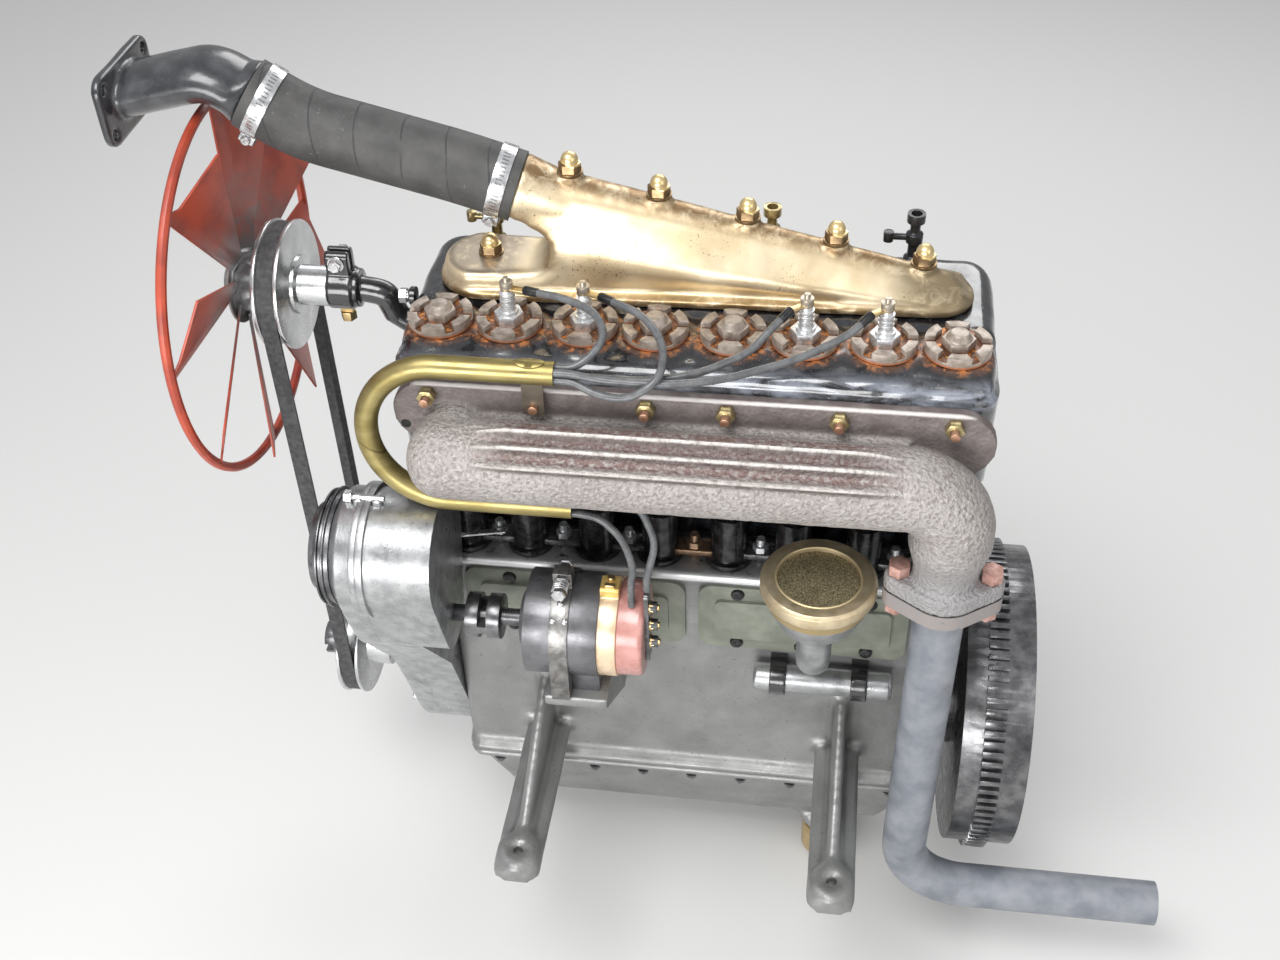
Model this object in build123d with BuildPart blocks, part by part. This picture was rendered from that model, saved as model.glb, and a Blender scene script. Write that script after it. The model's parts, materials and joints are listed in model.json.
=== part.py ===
from build123d import *
import os
from math import cos, pi, radians, sin, tan

# A four-cylinder side-valve car engine of the brass era, with its fan, hose,
# exhaust and ignition. X runs to the rear, Y away from the valves, Z up.
# The origin is on the crankshaft's axis, midway between the end cylinders.

# Cylinders, block and valves
CYLINDER_COUNT = 4
CYLINDER_PITCH = 125.0
VALVE_GAP = 60.0
VALVE_Y = -75.0
DECK_Z = 243.0
BLOCK_TOP_Z = 497.0
BLOCK_OVERHANG = 65.5
BLOCK_FAR_Y = 75.0
JACKET_NEAR_Y = -48.0
CHEST_NEAR_Y = -128.0
CHEST_FLOOR_Z = 385.0
BLOCK_CORNER = 28.0
BLOCK_SHOULDER = 18.0
FOOT_THICKNESS = 14.0
FOOT_STEP = 9.0
CORE_PLUG_RADIUS = 22.0
CORE_PLUG_Z = 330.0
CORE_PLUG_DEPTH = 3.0

# Valve caps, hexagon plugs and spark plugs
CAP_RADIUS = 27.7
CAP_HEIGHT = 10.0
CAP_RECESS_RADIUS = 19.5
CAP_RECESS_DEPTH = 6.0
CAP_SLOTS = 6
CAP_SLOT_WIDTH = 8.0
CAP_SLOT_OVERRUN = 4.0
CAP_SPIGOT_RADIUS = 23.4
CAP_SPIGOT_LENGTH = 26.0
CAP_BORE = 11.0
PLUG_HEX = 24.0
PLUG_HEX_HEIGHT = 8.5
PLUG_DOME_HEIGHT = 5.5
PLUG_DOME_STEP = 1.0
PLUG_DOME_TAPER = 35.0
SPARK_HEX = 22.0
SPARK_HEX_HEIGHT = 9.0
SPARK_GLAND_RADIUS = 8.6
SPARK_RIB_RADIUS = 6.6
SPARK_NECK_RADIUS = 5.0
SPARK_RIBS = 4
SPARK_RIB_PITCH = 4.6
SPARK_GLAND_STEP = 3.0
SPARK_STUD = 11.0
TERMINAL_RADIUS = 2.6
TERMINAL_NUT_RADIUS = 5.6
TAB_THICKNESS = 1.6
TAB_WIDTH = 7.0
TAB_END_GAP = 1.0
FIT_GAP = 0.1

# Crankcase, sump and bearer arms
CASE_STEP = 12.0
CASE_HALF_WIDTH = 100.0
CASE_CORNER = 16.0
LIP_THICKNESS = 11.0
LIP_STEP = 3.5
SPLIT_Z = -40.0
SUMP_DEPTH = 110.0
SUMP_FLANGE = 10.0
SUMP_FLANGE_STEP = 12.0
SUMP_INSET = 32.0
SUMP_RIBS = 9
SUMP_RIB_THICKNESS = 6.0
SUMP_RIB_HEIGHT = 9.0
BEARER_SPACING_X = 300.0
BEARER_SPACING_Y = 540.0
BEARER_HALF_WIDTH = 23.0
BEARER_END = 25.0
BEARER_ROOT_HEIGHT = 96.0
BEARER_TIP_HEIGHT = 22.0
BEARER_WEB = 12.0
BEARER_HOLE_RADIUS = 6.5
BEARER_BOSS_RADIUS = 21.0
REAR_BOSS_RADIUS = 72.0
REAR_BOSS_DEPTH = 10.0
STRAINER_X = 145.0
STRAINER_Y = -60.0
STRAINER_RADIUS = 24.0
STRAINER_LENGTH = 62.0
STRAINER_HEX = 38.0
STRAINER_COLLAR_HEX = 44.0
STRAINER_CHAMFER = 3.0

# Side covers and the oil rail below them
COVER_BOTTOM_Z = 150.0
COVER_TOP_Z = 231.0
COVER_SPANS = ((-220.0, -6.0), (7.0, 205.0))
COVER_THICKNESS = 5.0
COVER_CORNER = 14.0
COVER_MARGIN = 16.0
COVER_PANEL = 4.0
COVER_SCREW_RADIUS = 5.5
COVER_SCREW_HEIGHT = 3.0
COVER_SCREW_PITCH = 62.0
RAIL_START_X = 62.0
RAIL_END_X = 196.0
RAIL_RADIUS = 13.5
RAIL_STANDOFF = 17.0
RAIL_Z = 125.0
RAIL_CLAMP_WIDTH = 16.0
RAIL_CLAMP_WALL = 3.5

# Tappets, valve stems and springs
GUIDE_RADIUS = 17.0
GUIDE_FLANGE_RADIUS = 22.5
GUIDE_FLANGE_THICKNESS = 6.0
GUIDE_HEIGHT = 57.0
GUIDE_SPIGOT_RADIUS = 14.0
GUIDE_SPIGOT_LENGTH = 18.0
YOKE_WIDTH = 18.0
YOKE_THICKNESS = 6.0
YOKE_NUT_HEX = 13.0
YOKE_STUD_RADIUS = 4.0
YOKE_STUD_HEIGHT = 26.0
STEM_RADIUS = 5.0
STEM_GAP = 4.0
TAPPET_RADIUS = 8.0
SPRING_RADIUS = 14.0
SPRING_SEAT_RADIUS = 15.5
SPRING_SEAT_Z = 318.0
SPRING_SEAT_THICKNESS = 4.0

# Timing case, its cover and the ribbed end cap
TIMING_DEPTH = 38.0
TIMING_COVER_DEPTH = 27.0
TIMING_COVER_CHAMFER = 7.0
LOBE_Z = 305.7
LOBE_RADIUS = 57.0
LOBE_BAND_STEP = 4.5
LOBE_BAND_WIDTH = 6.0
LOBE_REAR_DEPTH = 65.0
TIMING_CRANK_RADIUS = 76.0
TIMING_CAM_Y = -62.0
TIMING_CAM_Z = 140.0
TIMING_CAM_RADIUS = 66.0
MAGNETO_STANDOFF = 65.0
MAGNETO_Z = 231.5
MAGNETO_LOBE_RADIUS = 34.0
PUMP_Z = 112.0
PUMP_LOBE_RADIUS = 42.0
END_CAP_STEPS = ((4.0, 52.0), (6.0, 55.0), (10.0, 50.0), (12.0, 53.0), (16.0, 46.0), (22.0, 40.0))

# Crankshaft, pulleys, belt and flywheel
SHAFT_RADIUS = 24.0
NOSE_RADIUS = 17.0
NOSE_FRONT_X = -404.0
NOSE_SHOULDER = 6.0
CRANK_HUB_WALL = 9.0
CRANK_HUB_GAP = 34.0
DOG_LENGTH = 18.0
DOG_RADIUS = 19.0
DOG_SLOT_WIDTH = 9.0
RUNNING_GAP = 0.06
BELT_X = -383.5
BELT_TOP_WIDTH = 15.0
BELT_INNER_WIDTH = 9.5
BELT_DEPTH = 9.0
BELT_CLEARANCE = 0.45
BELT_EDGE = 0.02
PULLEY_GROOVE_LIP = 2.0
PULLEY_FLANGE = 3.6
FAN_PULLEY_RADIUS = 59.0
CRANK_PULLEY_RADIUS = 59.0
CRANK_FLANGE_RADIUS = 58.0
CRANK_FLANGE_THICKNESS = 15.0
CRANK_FLANGE_GAP = 2.0
FLYWHEEL_RADIUS = 158.0
FLYWHEEL_WIDTH = 66.0
FLYWHEEL_WEB = 20.0
FLYWHEEL_RIM = 30.0
FLYWHEEL_DISH = 6.0
FLYWHEEL_HUB_RADIUS = 30.0
FLYWHEEL_HUB_HEIGHT = 10.0
FLYWHEEL_HUB_TOP_RADIUS = 24.0
GEAR_TEETH = 96
GEAR_TOOTH_HEIGHT = 6.0
GEAR_TOOTH_ROOT = 2.0
GEAR_WIDTH = 20.0
CLUTCH_BOLTS = 8
CLUTCH_BOLT_CIRCLE = 143.0
CLUTCH_HOLE_RADIUS = 4.25
CLUTCH_HOLE_DEPTH = 20.0

# Fan, its spindle and bracket
FAN_X = -424.6
FAN_Z = 474.5
FAN_RADIUS = 176.0
FAN_RIM_RADIUS = 4.5
FAN_BLADES = 8
BLADE_FIRST_ANGLE = 176.0
BLADE_PITCH_ANGLE = 22.0
BLADE_ROOT_RADIUS = 26.0
BLADE_TIP_RADIUS = 162.0
BLADE_ROOT_WIDTH = 17.0
BLADE_TIP_WIDTH = 72.0
BLADE_TIP_SLOPE = 12.0
BLADE_THICKNESS = 2.0
BLADE_NECK_WIDTH = 16.0
SPIDER_RADIUS = 38.0
FAN_NUT_RADIUS = 21.0
FAN_NUT_LENGTH = 5.0
HUB_DRUM_RADIUS = 27.0
HUB_REAR_RADIUS = 18.5
HUB_STEP = 4.0
ROOT_TRIM_MARGIN = 1.0
SPINDLE_RADIUS = 9.5
SPINDLE_GAP = 0.6
SPINDLE_NUT_RADIUS = 15.5
SPINDLE_NUT_LENGTH = 6.0
SPINDLE_TIP_LENGTH = 3.0
SPINDLE_TIP_RADIUS = 6.5
SPINDLE_TIP_BASE = 8.5
CLAMP_GAP = 0.5
CLAMP_FRONT_X = -340.0
CLAMP_REAR_X = -318.0
CLAMP_RADIUS = 20.0
CLAMP_LUG_TOP = 40.0
CLAMP_LUG_WIDTH = 20.0
CLAMP_LUG_CORNER = 6.0
CLAMP_SLIT = 3.0
CLAMP_COLLAR_RADIUS = 18.0
CLAMP_COLLAR_DEPTH = 6.0
CLAMP_LAP = 2.0
BRACKET_BACK_X = -290.0
BRACKET_ARM_RADIUS = 12.0
BRACKET_ARM_BEND = 12.0
BRACKET_ARM_DROP = 4.0
BRACKET_ARM_LEAN = 10.0
BRACKET_FOOT_Z = 440.0
BRACKET_FOOT_RADIUS = 27.0
BRACKET_FOOT_THICKNESS = 8.0
GREASE_PAD_LENGTH = 12.0
GREASE_PAD_WIDTH = 8.0
GREASE_PAD_HEIGHT = 5.0
GREASE_HEX = 13.0
GREASE_HEX_HEIGHT = 9.0

# Water outlet, hose and radiator elbow
OUTLET_FRONT_X = -234.0
OUTLET_REAR_X = 233.0
OUTLET_FRONT_HALF_WIDTH = 44.0
OUTLET_REAR_HALF_WIDTH = 34.0
OUTLET_BASE = 8.0
OUTLET_STUD_PITCH = 75.0
OUTLET_FIRST_STUD_X = -187.5
OUTLET_STUDS = 6
TOE_HEIGHT = 23.0
TOE_ROUND = 7.0
RIDGE_HEIGHT = 103.0
RIDGE_FALL = 0.24
RIDGE_FRONT_RADIUS = 27.0
RIDGE_REAR_RADIUS = 12.0
OUTLET_LAND = 4.0
OUTLET_TAPER = 9.0
TAIL_SLOPE = 0.35
NOTCH_X = -149.0
NOTCH_RADIUS = 20.0
BOSS_RADIUS = 11.5
NUT_HEX = 17.0
NUT_HEIGHT = 19.0
NUT_DOME_STEP = 1.0
WASHER_RADIUS = 11.0
WASHER_THICKNESS = 2.0
NECK_ANGLE = 18.0
NECK_RUN = 110.0
NECK_END_RADIUS = 16.0
HOSE_START_X = -158.0
HOSE_START_DROP = 13.0
HOSE_END_X = -381.0
HOSE_END_Z = 664.0
HOSE_RADIUS = 30.5
HOSE_WALL = 5.0
HOSE_END_RUN = 51.5
ELBOW_ANGLE = 31.8
SPIGOT_LENGTH = 26.0
SPIGOT_WALL = 4.5
HOSE_SEAT_STEP = 1.0
CLIP_INSET = 15.0
CLIP_WIDTH = 13.0
CLIP_THICKNESS = 1.6
CLIP_SCREW_LENGTH = 20.0
CLIP_SCREW_HEIGHT = 9.0
CLIP_SCREW_RISE = 3.0
ELBOW_RUN = 32.9
ELBOW_ROUND_RUN = 10.0
ELBOW_FACE_X = -493.0
ELBOW_FACE_Z = 661.0
ELBOW_HALF_WIDTH = 34.0
ELBOW_HALF_HEIGHT = 20.5
ELBOW_BEND = 34.0
ELBOW_WALL = 4.5
ELBOW_FLANGE_THICKNESS = 8.0
ELBOW_FLANGE_WIDTH = 104.0
ELBOW_FLANGE_HEIGHT = 62.0
ELBOW_FLANGE_CORNER = 14.0
ELBOW_BOLT_X = 82.0
ELBOW_BOLT_Z = 40.0
ELBOW_HOLE_RADIUS = 4.25
ELBOW_OVERRUN = 10.0
ELBOW_ENTRY_STEP = 1.0

# Exhaust
PLATE_FRONT_X = -250.0
PLATE_REAR_X = 253.0
PLATE_Z = 447.0
PLATE_HEIGHT = 64.0
PLATE_THICKNESS = 12.0
PLATE_STUDS_X = (-217.0, -125.0, -33.0, 33.0, 125.0, 217.0)
PLATE_STUD_Z = 468.0
MANIFOLD_NUT_HEX = 14.0
MANIFOLD_NUT_HEIGHT = 8.0
MANIFOLD_STUD_RADIUS = 4.0
MANIFOLD_STUD_LENGTH = 15.0
LOG_STANDOFF = 45.0
LOG_Z = 427.0
LOG_FRONT_X = -195.0
LOG_RADIUS = 34.8
LOG_END_ROUND = 30.0
LOG_WEB_STEP = 2.0
LOG_WEB_HEIGHT = 48.7
LOG_RIB_RADIUS = 6.0
LOG_RIB_ANGLES = (8.0, 32.0, 56.0)
LOG_RIB_FRONT_X = -172.0
LOG_RIB_REAR_X = 178.0
DOWNPIPE_X = 223.0
MANIFOLD_BEND = 40.0
NECK_RADIUS = 28.0
NECK_TOP_Z = 372.0
NECK_TAPER = 24.0
JOINT_Z = 318.0
JOINT_FLANGE = 16.0
JOINT_BOLT_X = 38.5
JOINT_EAR_RADIUS = 12.0
JOINT_HUB_RADIUS = 34.0
JOINT_BOLT_RADIUS = 6.0
JOINT_BOLT_HEX = 17.0
JOINT_HEAD_HEIGHT = 11.0
PIPE_RADIUS = 22.0
PIPE_WALL = 2.5
PIPE_BEND = 65.0
PIPE_LOW_Z = -107.0
PIPE_END_X = 480.0

# Ignition: lead tube, leads and magneto
CONDUIT_RADIUS = 10.0
CONDUIT_WALL = 1.5
CONDUIT_TOP_X = -104.0
CONDUIT_TOP_Y = -155.0
CONDUIT_LIFT = 11.0
CONDUIT_LOW_X = -95.0
CONDUIT_LOW_Y = -165.0
CONDUIT_LOW_Z = 374.0
CONDUIT_FRONT_X = -268.0
CONDUIT_STRAP_WIDTH = 18.0
CONDUIT_STRAP_END = 7.0
CONDUIT_STRAP_LAP = 4.0
CONDUIT_STRAP_THICKNESS = 2.5
GROMMET_LENGTH = 9.0
LEAD_RADIUS = 3.3
LEAD_OFFSET = 3.7
LEAD_EXIT = 14.0
LEAD_END_REACH = 17.0
LEAD_END_HEIGHT = 37.0
MAGNETO_RADIUS = 48.0
MAGNETO_NOSE_LENGTH = 7.0
MAGNETO_NOSE_RADIUS = 26.0
MAGNETO_NOSE_ROOT = 30.0
MAGNETO_BORE_DEPTH = 20.0
MAGNETO_FOOT_INSET = 8.0
MAGNETO_FOOT_WIDTH = 72.0
MAGNETO_FRONT_X = -141.0
MAGNETO_RING_X = -74.0
MAGNETO_CAP_X = -57.0
MAGNETO_REAR_X = -33.0
MAGNETO_RING_RADIUS = 46.0
RING_BLOCK_WIDTH = 20.0
RING_BLOCK_HEIGHT = 22.0
RING_BLOCK_CORNER = 3.0
RING_BLOCK_DROP = 2.0
MAGNETO_CAP_RADIUS = 44.0
MAGNETO_CAP_ROUND = 5.0
SCREW_PLATE_Y = -14.0
SCREW_PLATE_Z = 20.0
SCREW_PLATE_WIDTH = 16.0
SCREW_PLATE_HEIGHT = 84.0
SCREW_PLATE_THICKNESS = 4.0
SCREW_PLATE_CORNER = 4.0
MAGNETO_SCREWS = 3
MAGNETO_SCREW_PITCH = 22.0
MAGNETO_SCREW_RADIUS = 5.5
MAGNETO_SCREW_LENGTH = 7.0
PLATFORM_Z = 180.0
PLATFORM_THICKNESS = 11.0
PLATFORM_FRONT_X = -124.0
PLATFORM_REAR_X = -66.0
PLATFORM_FOOT_TOP = 8.0
PLATFORM_FOOT_LOW = 60.0
PLATFORM_FOOT_DEPTH = 16.0
PLATFORM_GAP = 4.0
PLATFORM_WEB = 8.0
PLATFORM_HOLLOW_Y = 30.0
PLATFORM_HOLLOW_END = 24.0
STRAP_X = -108.0
STRAP_WIDTH = 17.0
STRAP_THICKNESS = 2.2
STRAP_LUG_WIDTH = 12.0
STRAP_LUG_HEIGHT = 20.0
STRAP_LUG_RISE = 8.0
STRAP_BOLT_RADIUS = 5.0
STRAP_BOLT_LENGTH = 46.0
STRAP_BOLT_Y = 20.0
STRAP_BOLT_RISE = 11.0
DRIVE_SHAFT_RADIUS = 8.0
DRIVE_DISC_RADIUS = 21.0
DRIVE_DISC_WIDTH = 12.0
DRIVE_JAW = 8.0
DRIVE_DISC_GAP = 14.0
DRIVE_CASE_DEPTH = 20.0
DRIVE_END_DEPTH = 12.0
DRIVE_CUT_MARGIN = 1.0

# Breather, priming taps and the far side
BREATHER_X = 118.0
BREATHER_STANDOFF = 65.0
BREATHER_TOP_Z = 313.0
BREATHER_RADIUS = 51.0
BREATHER_HOLE_RADIUS = 36.5
BREATHER_RING_HEIGHT = 15.0
BREATHER_MESH_DROP = 4.0
BREATHER_BOWL_DEPTH = 52.0
BREATHER_NECK_RADIUS = 16.0
BREATHER_NECK_BEND = 22.0
BREATHER_NECK_LAP = 2.0
BREATHER_NECK_FLARE = 4.0
BREATHER_LEDGE = 4.0
BREATHER_FOOT_RADIUS = 23.0
BREATHER_FOOT_THICKNESS = 5.0
BREATHER_RING_CHAMFER = 3.0
BREATHER_RING_DRAFT = 1.5
BREATHER_NECK_Z = 196.0
TAP_Y = 54.0
TAP_OFFSET_X = -7.0
TAP_HEIGHT = 50.0
TAP_CUP_RADIUS = 5.0
TAP_CUP_DEPTH = 6.0
TAP_LEVER_Z = 26.0
TAP_LEVER_REACH = 22.5
TAP_LEVER_RADIUS = 3.0
TAP_KNOB_RADIUS = 4.5
TAP_PROFILE = (
    (0.0, 8.0), (6.0, 8.0), (8.0, 5.0), (20.0, 5.0), (22.0, 7.5), (30.0, 7.5), (32.0, 4.5), (40.0, 4.5),
    (42.0, 8.0),
)
INLET_Z = 425.0
INLET_REACH = 62.0
INLET_DROP = 58.0
INLET_RADIUS = 21.0
INLET_BEND = 40.0
INLET_FLANGE_RADIUS = 28.0
INLET_FLANGE_THICKNESS = 8.0
INLET_BOLT_X = 34.0
INLET_EAR_RADIUS = 9.0
INLET_HOLE_RADIUS = 4.25
CARB_RADIUS = 25.0
CARB_HEIGHT = 84.0
FLOAT_RADIUS = 27.0
FLOAT_GAP = 58.0
FLOAT_TOP_GAP = 12.0
FLOAT_HEIGHT = 60.0
FLOAT_LINK_RADIUS = 9.0
FLOAT_LINK_RISE = 10.0
CARB_CHAMFER = 4.0
HORN_LENGTH = 60.0
HORN_RADIUS = 20.0
HORN_RIM_RADIUS = 25.0
HORN_RIM_WIDTH = 12.0
HORN_DROP = 54.0
PUMP_RADIUS = 45.0
PUMP_GAP = 1.0
PUMP_SEAT_STEP = 6.0
PUMP_SEAT_WIDTH = 8.0
PUMP_REAR_SLOPE = 8.0
PUMP_GLAND_RADIUS = 16.0
PUMP_GLAND_TOP_RADIUS = 14.0
PUMP_GLAND_LENGTH = 10.0
PUMP_COLLAR_RADIUS = 19.5
PUMP_COLLAR_RISE = 6.0
PUMP_INLET_LENGTH = 26.0
PUMP_DEPTH = 42.0
WATER_PIPE_RADIUS = 16.5
WATER_PIPE_X = -125.0
WATER_PIPE_Z = 292.0
WATER_PIPE_DROP = 78.0
WATER_PIPE_BENDS = (36.0, 30.0)
WATER_FLANGE_RADIUS = 27.5
WATER_FLANGE_THICKNESS = 7.0

# Places that follow from the sizes above
BLOCK_HALF = CYLINDER_PITCH * (CYLINDER_COUNT - 1) / 2 + BLOCK_OVERHANG
CASE_HALF = BLOCK_HALF - CASE_STEP
CRANK_FLANGE_X = CASE_HALF + REAR_BOSS_DEPTH + CRANK_FLANGE_GAP
PUMP_X = -CASE_HALF + PUMP_DEPTH / 2
PUMP_Y = CASE_HALF_WIDTH + PUMP_RADIUS + PUMP_GAP
RAIL_Y = -CASE_HALF_WIDTH - RAIL_STANDOFF
MAGNETO_Y = -CASE_HALF_WIDTH - MAGNETO_STANDOFF
LOBE_Y = MAGNETO_Y
BREATHER_Y = -CASE_HALF_WIDTH - BREATHER_STANDOFF
LOG_Y = CHEST_NEAR_Y - LOG_STANDOFF
RIDGE_TOP_Z = BLOCK_TOP_Z + RIDGE_HEIGHT
TOE_TOP_Z = BLOCK_TOP_Z + TOE_HEIGHT
HOSE_START_Z = RIDGE_TOP_Z - HOSE_START_DROP
CONDUIT_TOP_Z = BLOCK_TOP_Z + CONDUIT_LIFT
LEAD_END_Z = BLOCK_TOP_Z + LEAD_END_HEIGHT
CYLINDERS_X = [CYLINDER_PITCH * (i - (CYLINDER_COUNT - 1) / 2) for i in range(CYLINDER_COUNT)]
VALVES_X = [x + side * VALVE_GAP / 2 for x in CYLINDERS_X for side in (-1, 1)]
SPARK_VALVES_X = [x for i, x in enumerate(VALVES_X) if i % 4 in (1, 2)]
PLUG_VALVES_X = [x for i, x in enumerate(VALVES_X) if i % 4 in (0, 3)]
SUMP_BOTTOM_Z = SPLIT_Z - SUMP_DEPTH
TIMING_JOINT_X = -CASE_HALF - TIMING_DEPTH
TIMING_FRONT_X = TIMING_JOINT_X - TIMING_COVER_DEPTH
COVER_FACE_Y = -CASE_HALF_WIDTH - COVER_THICKNESS - COVER_PANEL
CAP_FLOOR_Z = BLOCK_TOP_Z + CAP_HEIGHT - CAP_RECESS_DEPTH
OUTLET_STUDS_X = [OUTLET_FIRST_STUD_X + OUTLET_STUD_PITCH * i for i in range(OUTLET_STUDS)]
PLATE_FACE_Y = CHEST_NEAR_Y - PLATE_THICKNESS


def ridge_z(x):
    """The height of the outlet's sloping ridge."""
    return RIDGE_TOP_Z - RIDGE_FALL * (x - OUTLET_STUDS_X[1])


def stud_top_z(x):
    """Where the boss of an outlet stud ends."""
    uphill = RIDGE_FALL * WASHER_RADIUS
    return TOE_TOP_Z if x == OUTLET_FIRST_STUD_X else ridge_z(x) + uphill + FIT_GAP


def side_plane(y=0.0, z=0.0):
    """A plane whose first axis is X and whose second is Z, through y and z."""
    return Plane(origin=(0, y, z), x_dir=(1, 0, 0), z_dir=(0, -1, 0))


def cross_plane(x, y=0.0, z=0.0):
    """A plane across the engine: its first axis is Y and its second is Z."""
    return Plane(origin=(x, y, z), x_dir=(0, 1, 0), z_dir=(1, 0, 0))


def turned_on_x(profile, y=0.0, z=0.0):
    """A solid turned about a lengthwise axis from (x, radius) corners."""
    with BuildPart() as made:
        with BuildSketch(side_plane(y, z)):
            with BuildLine():
                Polyline(*profile, close=True)
            make_face()
        revolve(axis=Axis((0, y, z), (1, 0, 0)))
    return made.part


def turned_on_z(profile, x=0.0, y=0.0):
    """A solid turned about an upright axis from (radius, z) corners."""
    with BuildPart() as made:
        with BuildSketch(Plane(origin=(x, y, 0), x_dir=(1, 0, 0), z_dir=(0, -1, 0))):
            with BuildLine():
                Polyline(*profile, close=True)
            make_face()
        revolve(axis=Axis((x, y, 0), (0, 0, 1)))
    return made.part


def bend_radii(points):
    """The largest bend that the two runs at each corner leave room for."""
    spots = [Vector(*point) for point in points]
    radii = []
    for before, corner, after in zip(spots, spots[1:], spots[2:]):
        run_in = corner - before
        run_out = after - corner
        half_turn = radians(run_in.get_angle(run_out)) / 2
        radii.append(0.45 * min(run_in.length, run_out.length) / tan(half_turn))
    return radii


def tube(points, radii, outer, bore=0.0):
    """A round bar or tube along runs joined by bends."""
    with BuildPart() as made:
        with BuildLine() as route:
            FilletPolyline(*points, radius=radii)
        with BuildSketch(Plane(origin=route.line @ 0, z_dir=route.line % 0)):
            Circle(outer)
            if bore:
                Circle(bore, mode=Mode.SUBTRACT)
        sweep()
    return made.part


def hexagon_bar(across_flats, height):
    """An upright hexagon bar that stands on the origin."""
    with BuildPart() as made:
        with BuildSketch():
            RegularPolygon(radius=across_flats / 2, side_count=6, major_radius=False)
        extrude(amount=height)
    return made.part


# Crankcase: a box with a machined deck, four bearer arms and a bore for the shaft
with BuildPart() as crankcase:
    with BuildSketch(Plane.XY.offset(SPLIT_Z)):
        RectangleRounded(2 * CASE_HALF, 2 * CASE_HALF_WIDTH, CASE_CORNER)
    extrude(amount=DECK_Z - SPLIT_Z)
    with BuildSketch(Plane.XY.offset(DECK_Z - LIP_THICKNESS)):
        RectangleRounded(2 * CASE_HALF, 2 * (CASE_HALF_WIDTH + LIP_STEP), CASE_CORNER)
    extrude(amount=LIP_THICKNESS)
    with BuildSketch(Plane.XY.offset(SPLIT_Z)):
        RectangleRounded(2 * CASE_HALF, 2 * (CASE_HALF_WIDTH + SUMP_FLANGE_STEP), CASE_CORNER)
    extrude(amount=SUMP_FLANGE)
    bearer_reach = BEARER_SPACING_Y / 2 + BEARER_END
    for arm_x in (-BEARER_SPACING_X / 2, BEARER_SPACING_X / 2):
        with BuildSketch(cross_plane(arm_x)):
            with BuildLine():
                Polyline(
                    (-bearer_reach, 0),
                    (bearer_reach, 0),
                    (bearer_reach, BEARER_TIP_HEIGHT),
                    (bearer_reach - 2 * BEARER_END, BEARER_TIP_HEIGHT),
                    (CASE_HALF_WIDTH - CASE_CORNER, BEARER_ROOT_HEIGHT),
                    (-CASE_HALF_WIDTH + CASE_CORNER, BEARER_ROOT_HEIGHT),
                    (-bearer_reach + 2 * BEARER_END, BEARER_TIP_HEIGHT),
                    (-bearer_reach, BEARER_TIP_HEIGHT),
                    close=True,
                )
            make_face()
        extrude(amount=BEARER_WEB / 2, both=True)
        with BuildSketch(Plane.XY):
            with Locations((arm_x, 0)):
                RectangleRounded(2 * BEARER_HALF_WIDTH, 2 * bearer_reach, BEARER_END / 2)
        extrude(amount=BEARER_WEB)
    with Locations(*[
        (x, y, 0)
        for x in (-BEARER_SPACING_X / 2, BEARER_SPACING_X / 2)
        for y in (-BEARER_SPACING_Y / 2, BEARER_SPACING_Y / 2)
    ]):
        Cylinder(BEARER_BOSS_RADIUS, BEARER_TIP_HEIGHT, align=(Align.CENTER, Align.CENTER, Align.MIN))
        Cylinder(BEARER_HOLE_RADIUS, 3 * BEARER_TIP_HEIGHT, mode=Mode.SUBTRACT)
    with BuildSketch(cross_plane(CASE_HALF)):
        Circle(REAR_BOSS_RADIUS)
    extrude(amount=REAR_BOSS_DEPTH)
    # The boss's foot would reach below the split, so the sump's side is kept flat
    split(bisect_by=Plane.XY.offset(SPLIT_Z), keep=Keep.TOP)
    with BuildSketch(cross_plane(-CASE_HALF)):
        Circle(SHAFT_RADIUS + RUNNING_GAP)
    extrude(amount=2 * CASE_HALF + REAR_BOSS_DEPTH, mode=Mode.SUBTRACT)
    with BuildSketch(Plane.XY.offset(DECK_Z)):
        with Locations(*[(x, VALVE_Y) for x in VALVES_X]):
            Circle(GUIDE_SPIGOT_RADIUS + FIT_GAP)
    extrude(amount=-GUIDE_SPIGOT_LENGTH - FIT_GAP, mode=Mode.SUBTRACT)

# Sump: a tapered tray under the split, ribbed across its floor
with BuildPart() as sump:
    with BuildSketch(Plane.XY.offset(SPLIT_Z)):
        RectangleRounded(2 * CASE_HALF, 2 * (CASE_HALF_WIDTH + SUMP_FLANGE_STEP), CASE_CORNER)
    extrude(amount=-SUMP_FLANGE)
    with BuildSketch(Plane.XY.offset(SPLIT_Z - SUMP_FLANGE)):
        RectangleRounded(2 * CASE_HALF, 2 * CASE_HALF_WIDTH, CASE_CORNER)
    with BuildSketch(Plane.XY.offset(SUMP_BOTTOM_Z)):
        RectangleRounded(2 * (CASE_HALF - SUMP_INSET), 2 * (CASE_HALF_WIDTH - SUMP_INSET), CASE_CORNER)
    loft(ruled=True)
    rib_pitch = 2 * (CASE_HALF - 2 * SUMP_INSET) / (SUMP_RIBS - 1)
    with BuildSketch(Plane.XY.offset(SUMP_BOTTOM_Z)):
        with GridLocations(rib_pitch, 1, SUMP_RIBS, 1):
            Rectangle(SUMP_RIB_THICKNESS, 2 * (CASE_HALF_WIDTH - SUMP_INSET - CASE_CORNER))
    extrude(amount=-SUMP_RIB_HEIGHT)
    with BuildSketch(Plane.XY.offset(SUMP_BOTTOM_Z)):
        with Locations((STRAINER_X, STRAINER_Y)):
            Circle(STRAINER_RADIUS + SUMP_RIB_THICKNESS)
    extrude(amount=-SUMP_RIB_HEIGHT)

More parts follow.
